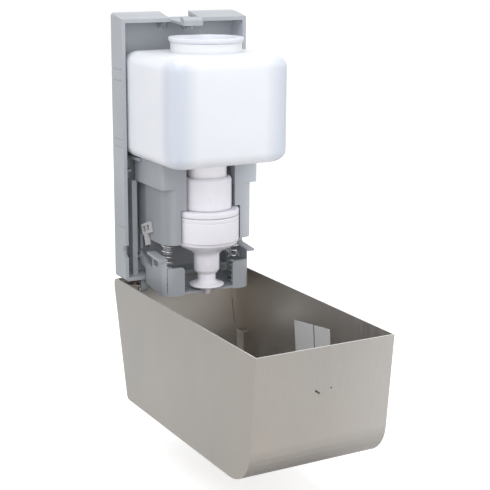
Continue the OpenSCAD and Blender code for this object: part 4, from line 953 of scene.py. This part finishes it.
def add_pump_spring():
    """The spring inside the pump, a coil of wire over its node's height."""
    low, high = height_of("pump_spring")
    spring = spring_wire("pump_spring_wire", 0, PUMP_Y, PUMP_SPRING_R, PUMP_WIRE_R, (low, high), PUMP_TURNS)
    finish_piece(spring, "base", "spring_steel", "pump_spring")
    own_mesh(spring)


# Light of the surroundings, and the floor's own light where the camera or a ray through the object sees it
SKY = 0.6
FLOOR_GLOW = 0.55
FLOOR_GREY = 0.82
WHITE = (1, 1, 1, 1)
# Floor's half width, and its drop under the lowest piece, in metres
FLOOR_HALF = 6.0
FLOOR_DROP = 0.045
# Point that most lamps aim at
MIDDLE = (0, -0.08, 0.0)
# Lamps: name, place and target in metres, width and height in metres, and power in watts
LAMPS = [
    ("key", (-1.0, -1.1, 1.3), MIDDLE, (0.9, 0.9), 8),
    ("top", (0.0, -0.2, 1.6), MIDDLE, (1.2, 1.2), 12),
    ("fill", (1.3, -1.0, 0.6), MIDDLE, (1.0, 1.0), 4),
    ("front", (-0.2, -2.0, 0.5), MIDDLE, (1.2, 1.2), 8),
    ("left", (-1.6, 0.1, 0.5), (0, -0.04, 0.0), (1.2, 1.2), 4),
]


def seen_by(tree, *kinds):
    """One for a ray of any of the kinds named, and nothing for the others."""
    path = tree.nodes.new("ShaderNodeLightPath")
    value = path.outputs[kinds[0]]
    for kind in kinds[1:]:
        value = maths(tree, "MAXIMUM", value, path.outputs[kind])
    return value


def floor_material():
    """Pale grey, with a light of its own where the camera or a ray through the object meets it."""
    mat = bpy.data.materials.new("floor")
    mat.use_nodes = True
    tree = mat.node_tree
    tree.nodes.clear()
    diffuse = tree.nodes.new("ShaderNodeBsdfDiffuse")
    diffuse.inputs["Color"].default_value = (FLOOR_GREY, FLOOR_GREY, FLOOR_GREY, 1)
    glow = tree.nodes.new("ShaderNodeEmission")
    glow.inputs["Color"].default_value = WHITE
    glow.inputs["Strength"].default_value = FLOOR_GLOW
    both = tree.nodes.new("ShaderNodeAddShader")
    tree.links.new(diffuse.outputs[0], both.inputs[0])
    tree.links.new(glow.outputs[0], both.inputs[1])
    mix = tree.nodes.new("ShaderNodeMixShader")
    tree.links.new(seen_by(tree, "Is Camera Ray", "Is Transmission Ray"), mix.inputs[0])
    tree.links.new(diffuse.outputs[0], mix.inputs[1])
    tree.links.new(both.outputs[0], mix.inputs[2])
    out = tree.nodes.new("ShaderNodeOutputMaterial")
    tree.links.new(mix.outputs[0], out.inputs["Surface"])
    return mat


def add_stage():
    """The floor, a little under the lowest piece."""
    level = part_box("push_button")[0].z - FLOOR_DROP
    corners = [(-1, -1), (1, -1), (1, 1), (-1, 1)]
    mesh = bpy.data.meshes.new("floor")
    mesh.from_pydata([(x * FLOOR_HALF, y * FLOOR_HALF, level) for x, y in corners], [], [(0, 1, 2, 3)])
    mesh.materials.append(floor_material())
    floor = bpy.data.objects.new("floor", mesh)
    bpy.context.scene.collection.objects.link(floor)


def add_world():
    """Soft light from all sides, and white wherever the surroundings themselves are seen."""
    world = bpy.data.worlds.new("studio")
    world.use_nodes = True
    tree = world.node_tree
    background = tree.nodes["Background"]
    background.inputs["Color"].default_value = WHITE
    strength = tree.nodes.new("ShaderNodeMapRange")
    strength.inputs["To Min"].default_value = SKY
    strength.inputs["To Max"].default_value = 1.0
    seen = seen_by(tree, "Is Camera Ray", "Is Transmission Ray", "Is Glossy Ray")
    tree.links.new(seen, strength.inputs["Value"])
    tree.links.new(strength.outputs["Result"], background.inputs["Strength"])
    bpy.context.scene.world = world


def add_lamp(name, place, target, size, power):
    """A soft rectangular lamp aimed at a point."""
    data = bpy.data.lights.new(name, "AREA")
    data.shape = "RECTANGLE"
    data.size, data.size_y = size
    data.energy = power
    lamp = bpy.data.objects.new(name, data)
    lamp.location = place
    lamp.rotation_euler = (Vector(target) - Vector(place)).to_track_quat("-Z", "Y").to_euler()
    bpy.context.scene.collection.objects.link(lamp)


add_camera()
materials = make_materials()
dress_nodes()
add_bottle()
add_cap()
add_collar()
add_lid()
add_bowl()
add_plunger()
add_disc()
add_tray_springs()
add_pump_spring()
add_stage()
add_world()
for lamp in LAMPS:
    add_lamp(*lamp)

view = bpy.context.scene.view_settings
view.view_transform = "Standard"
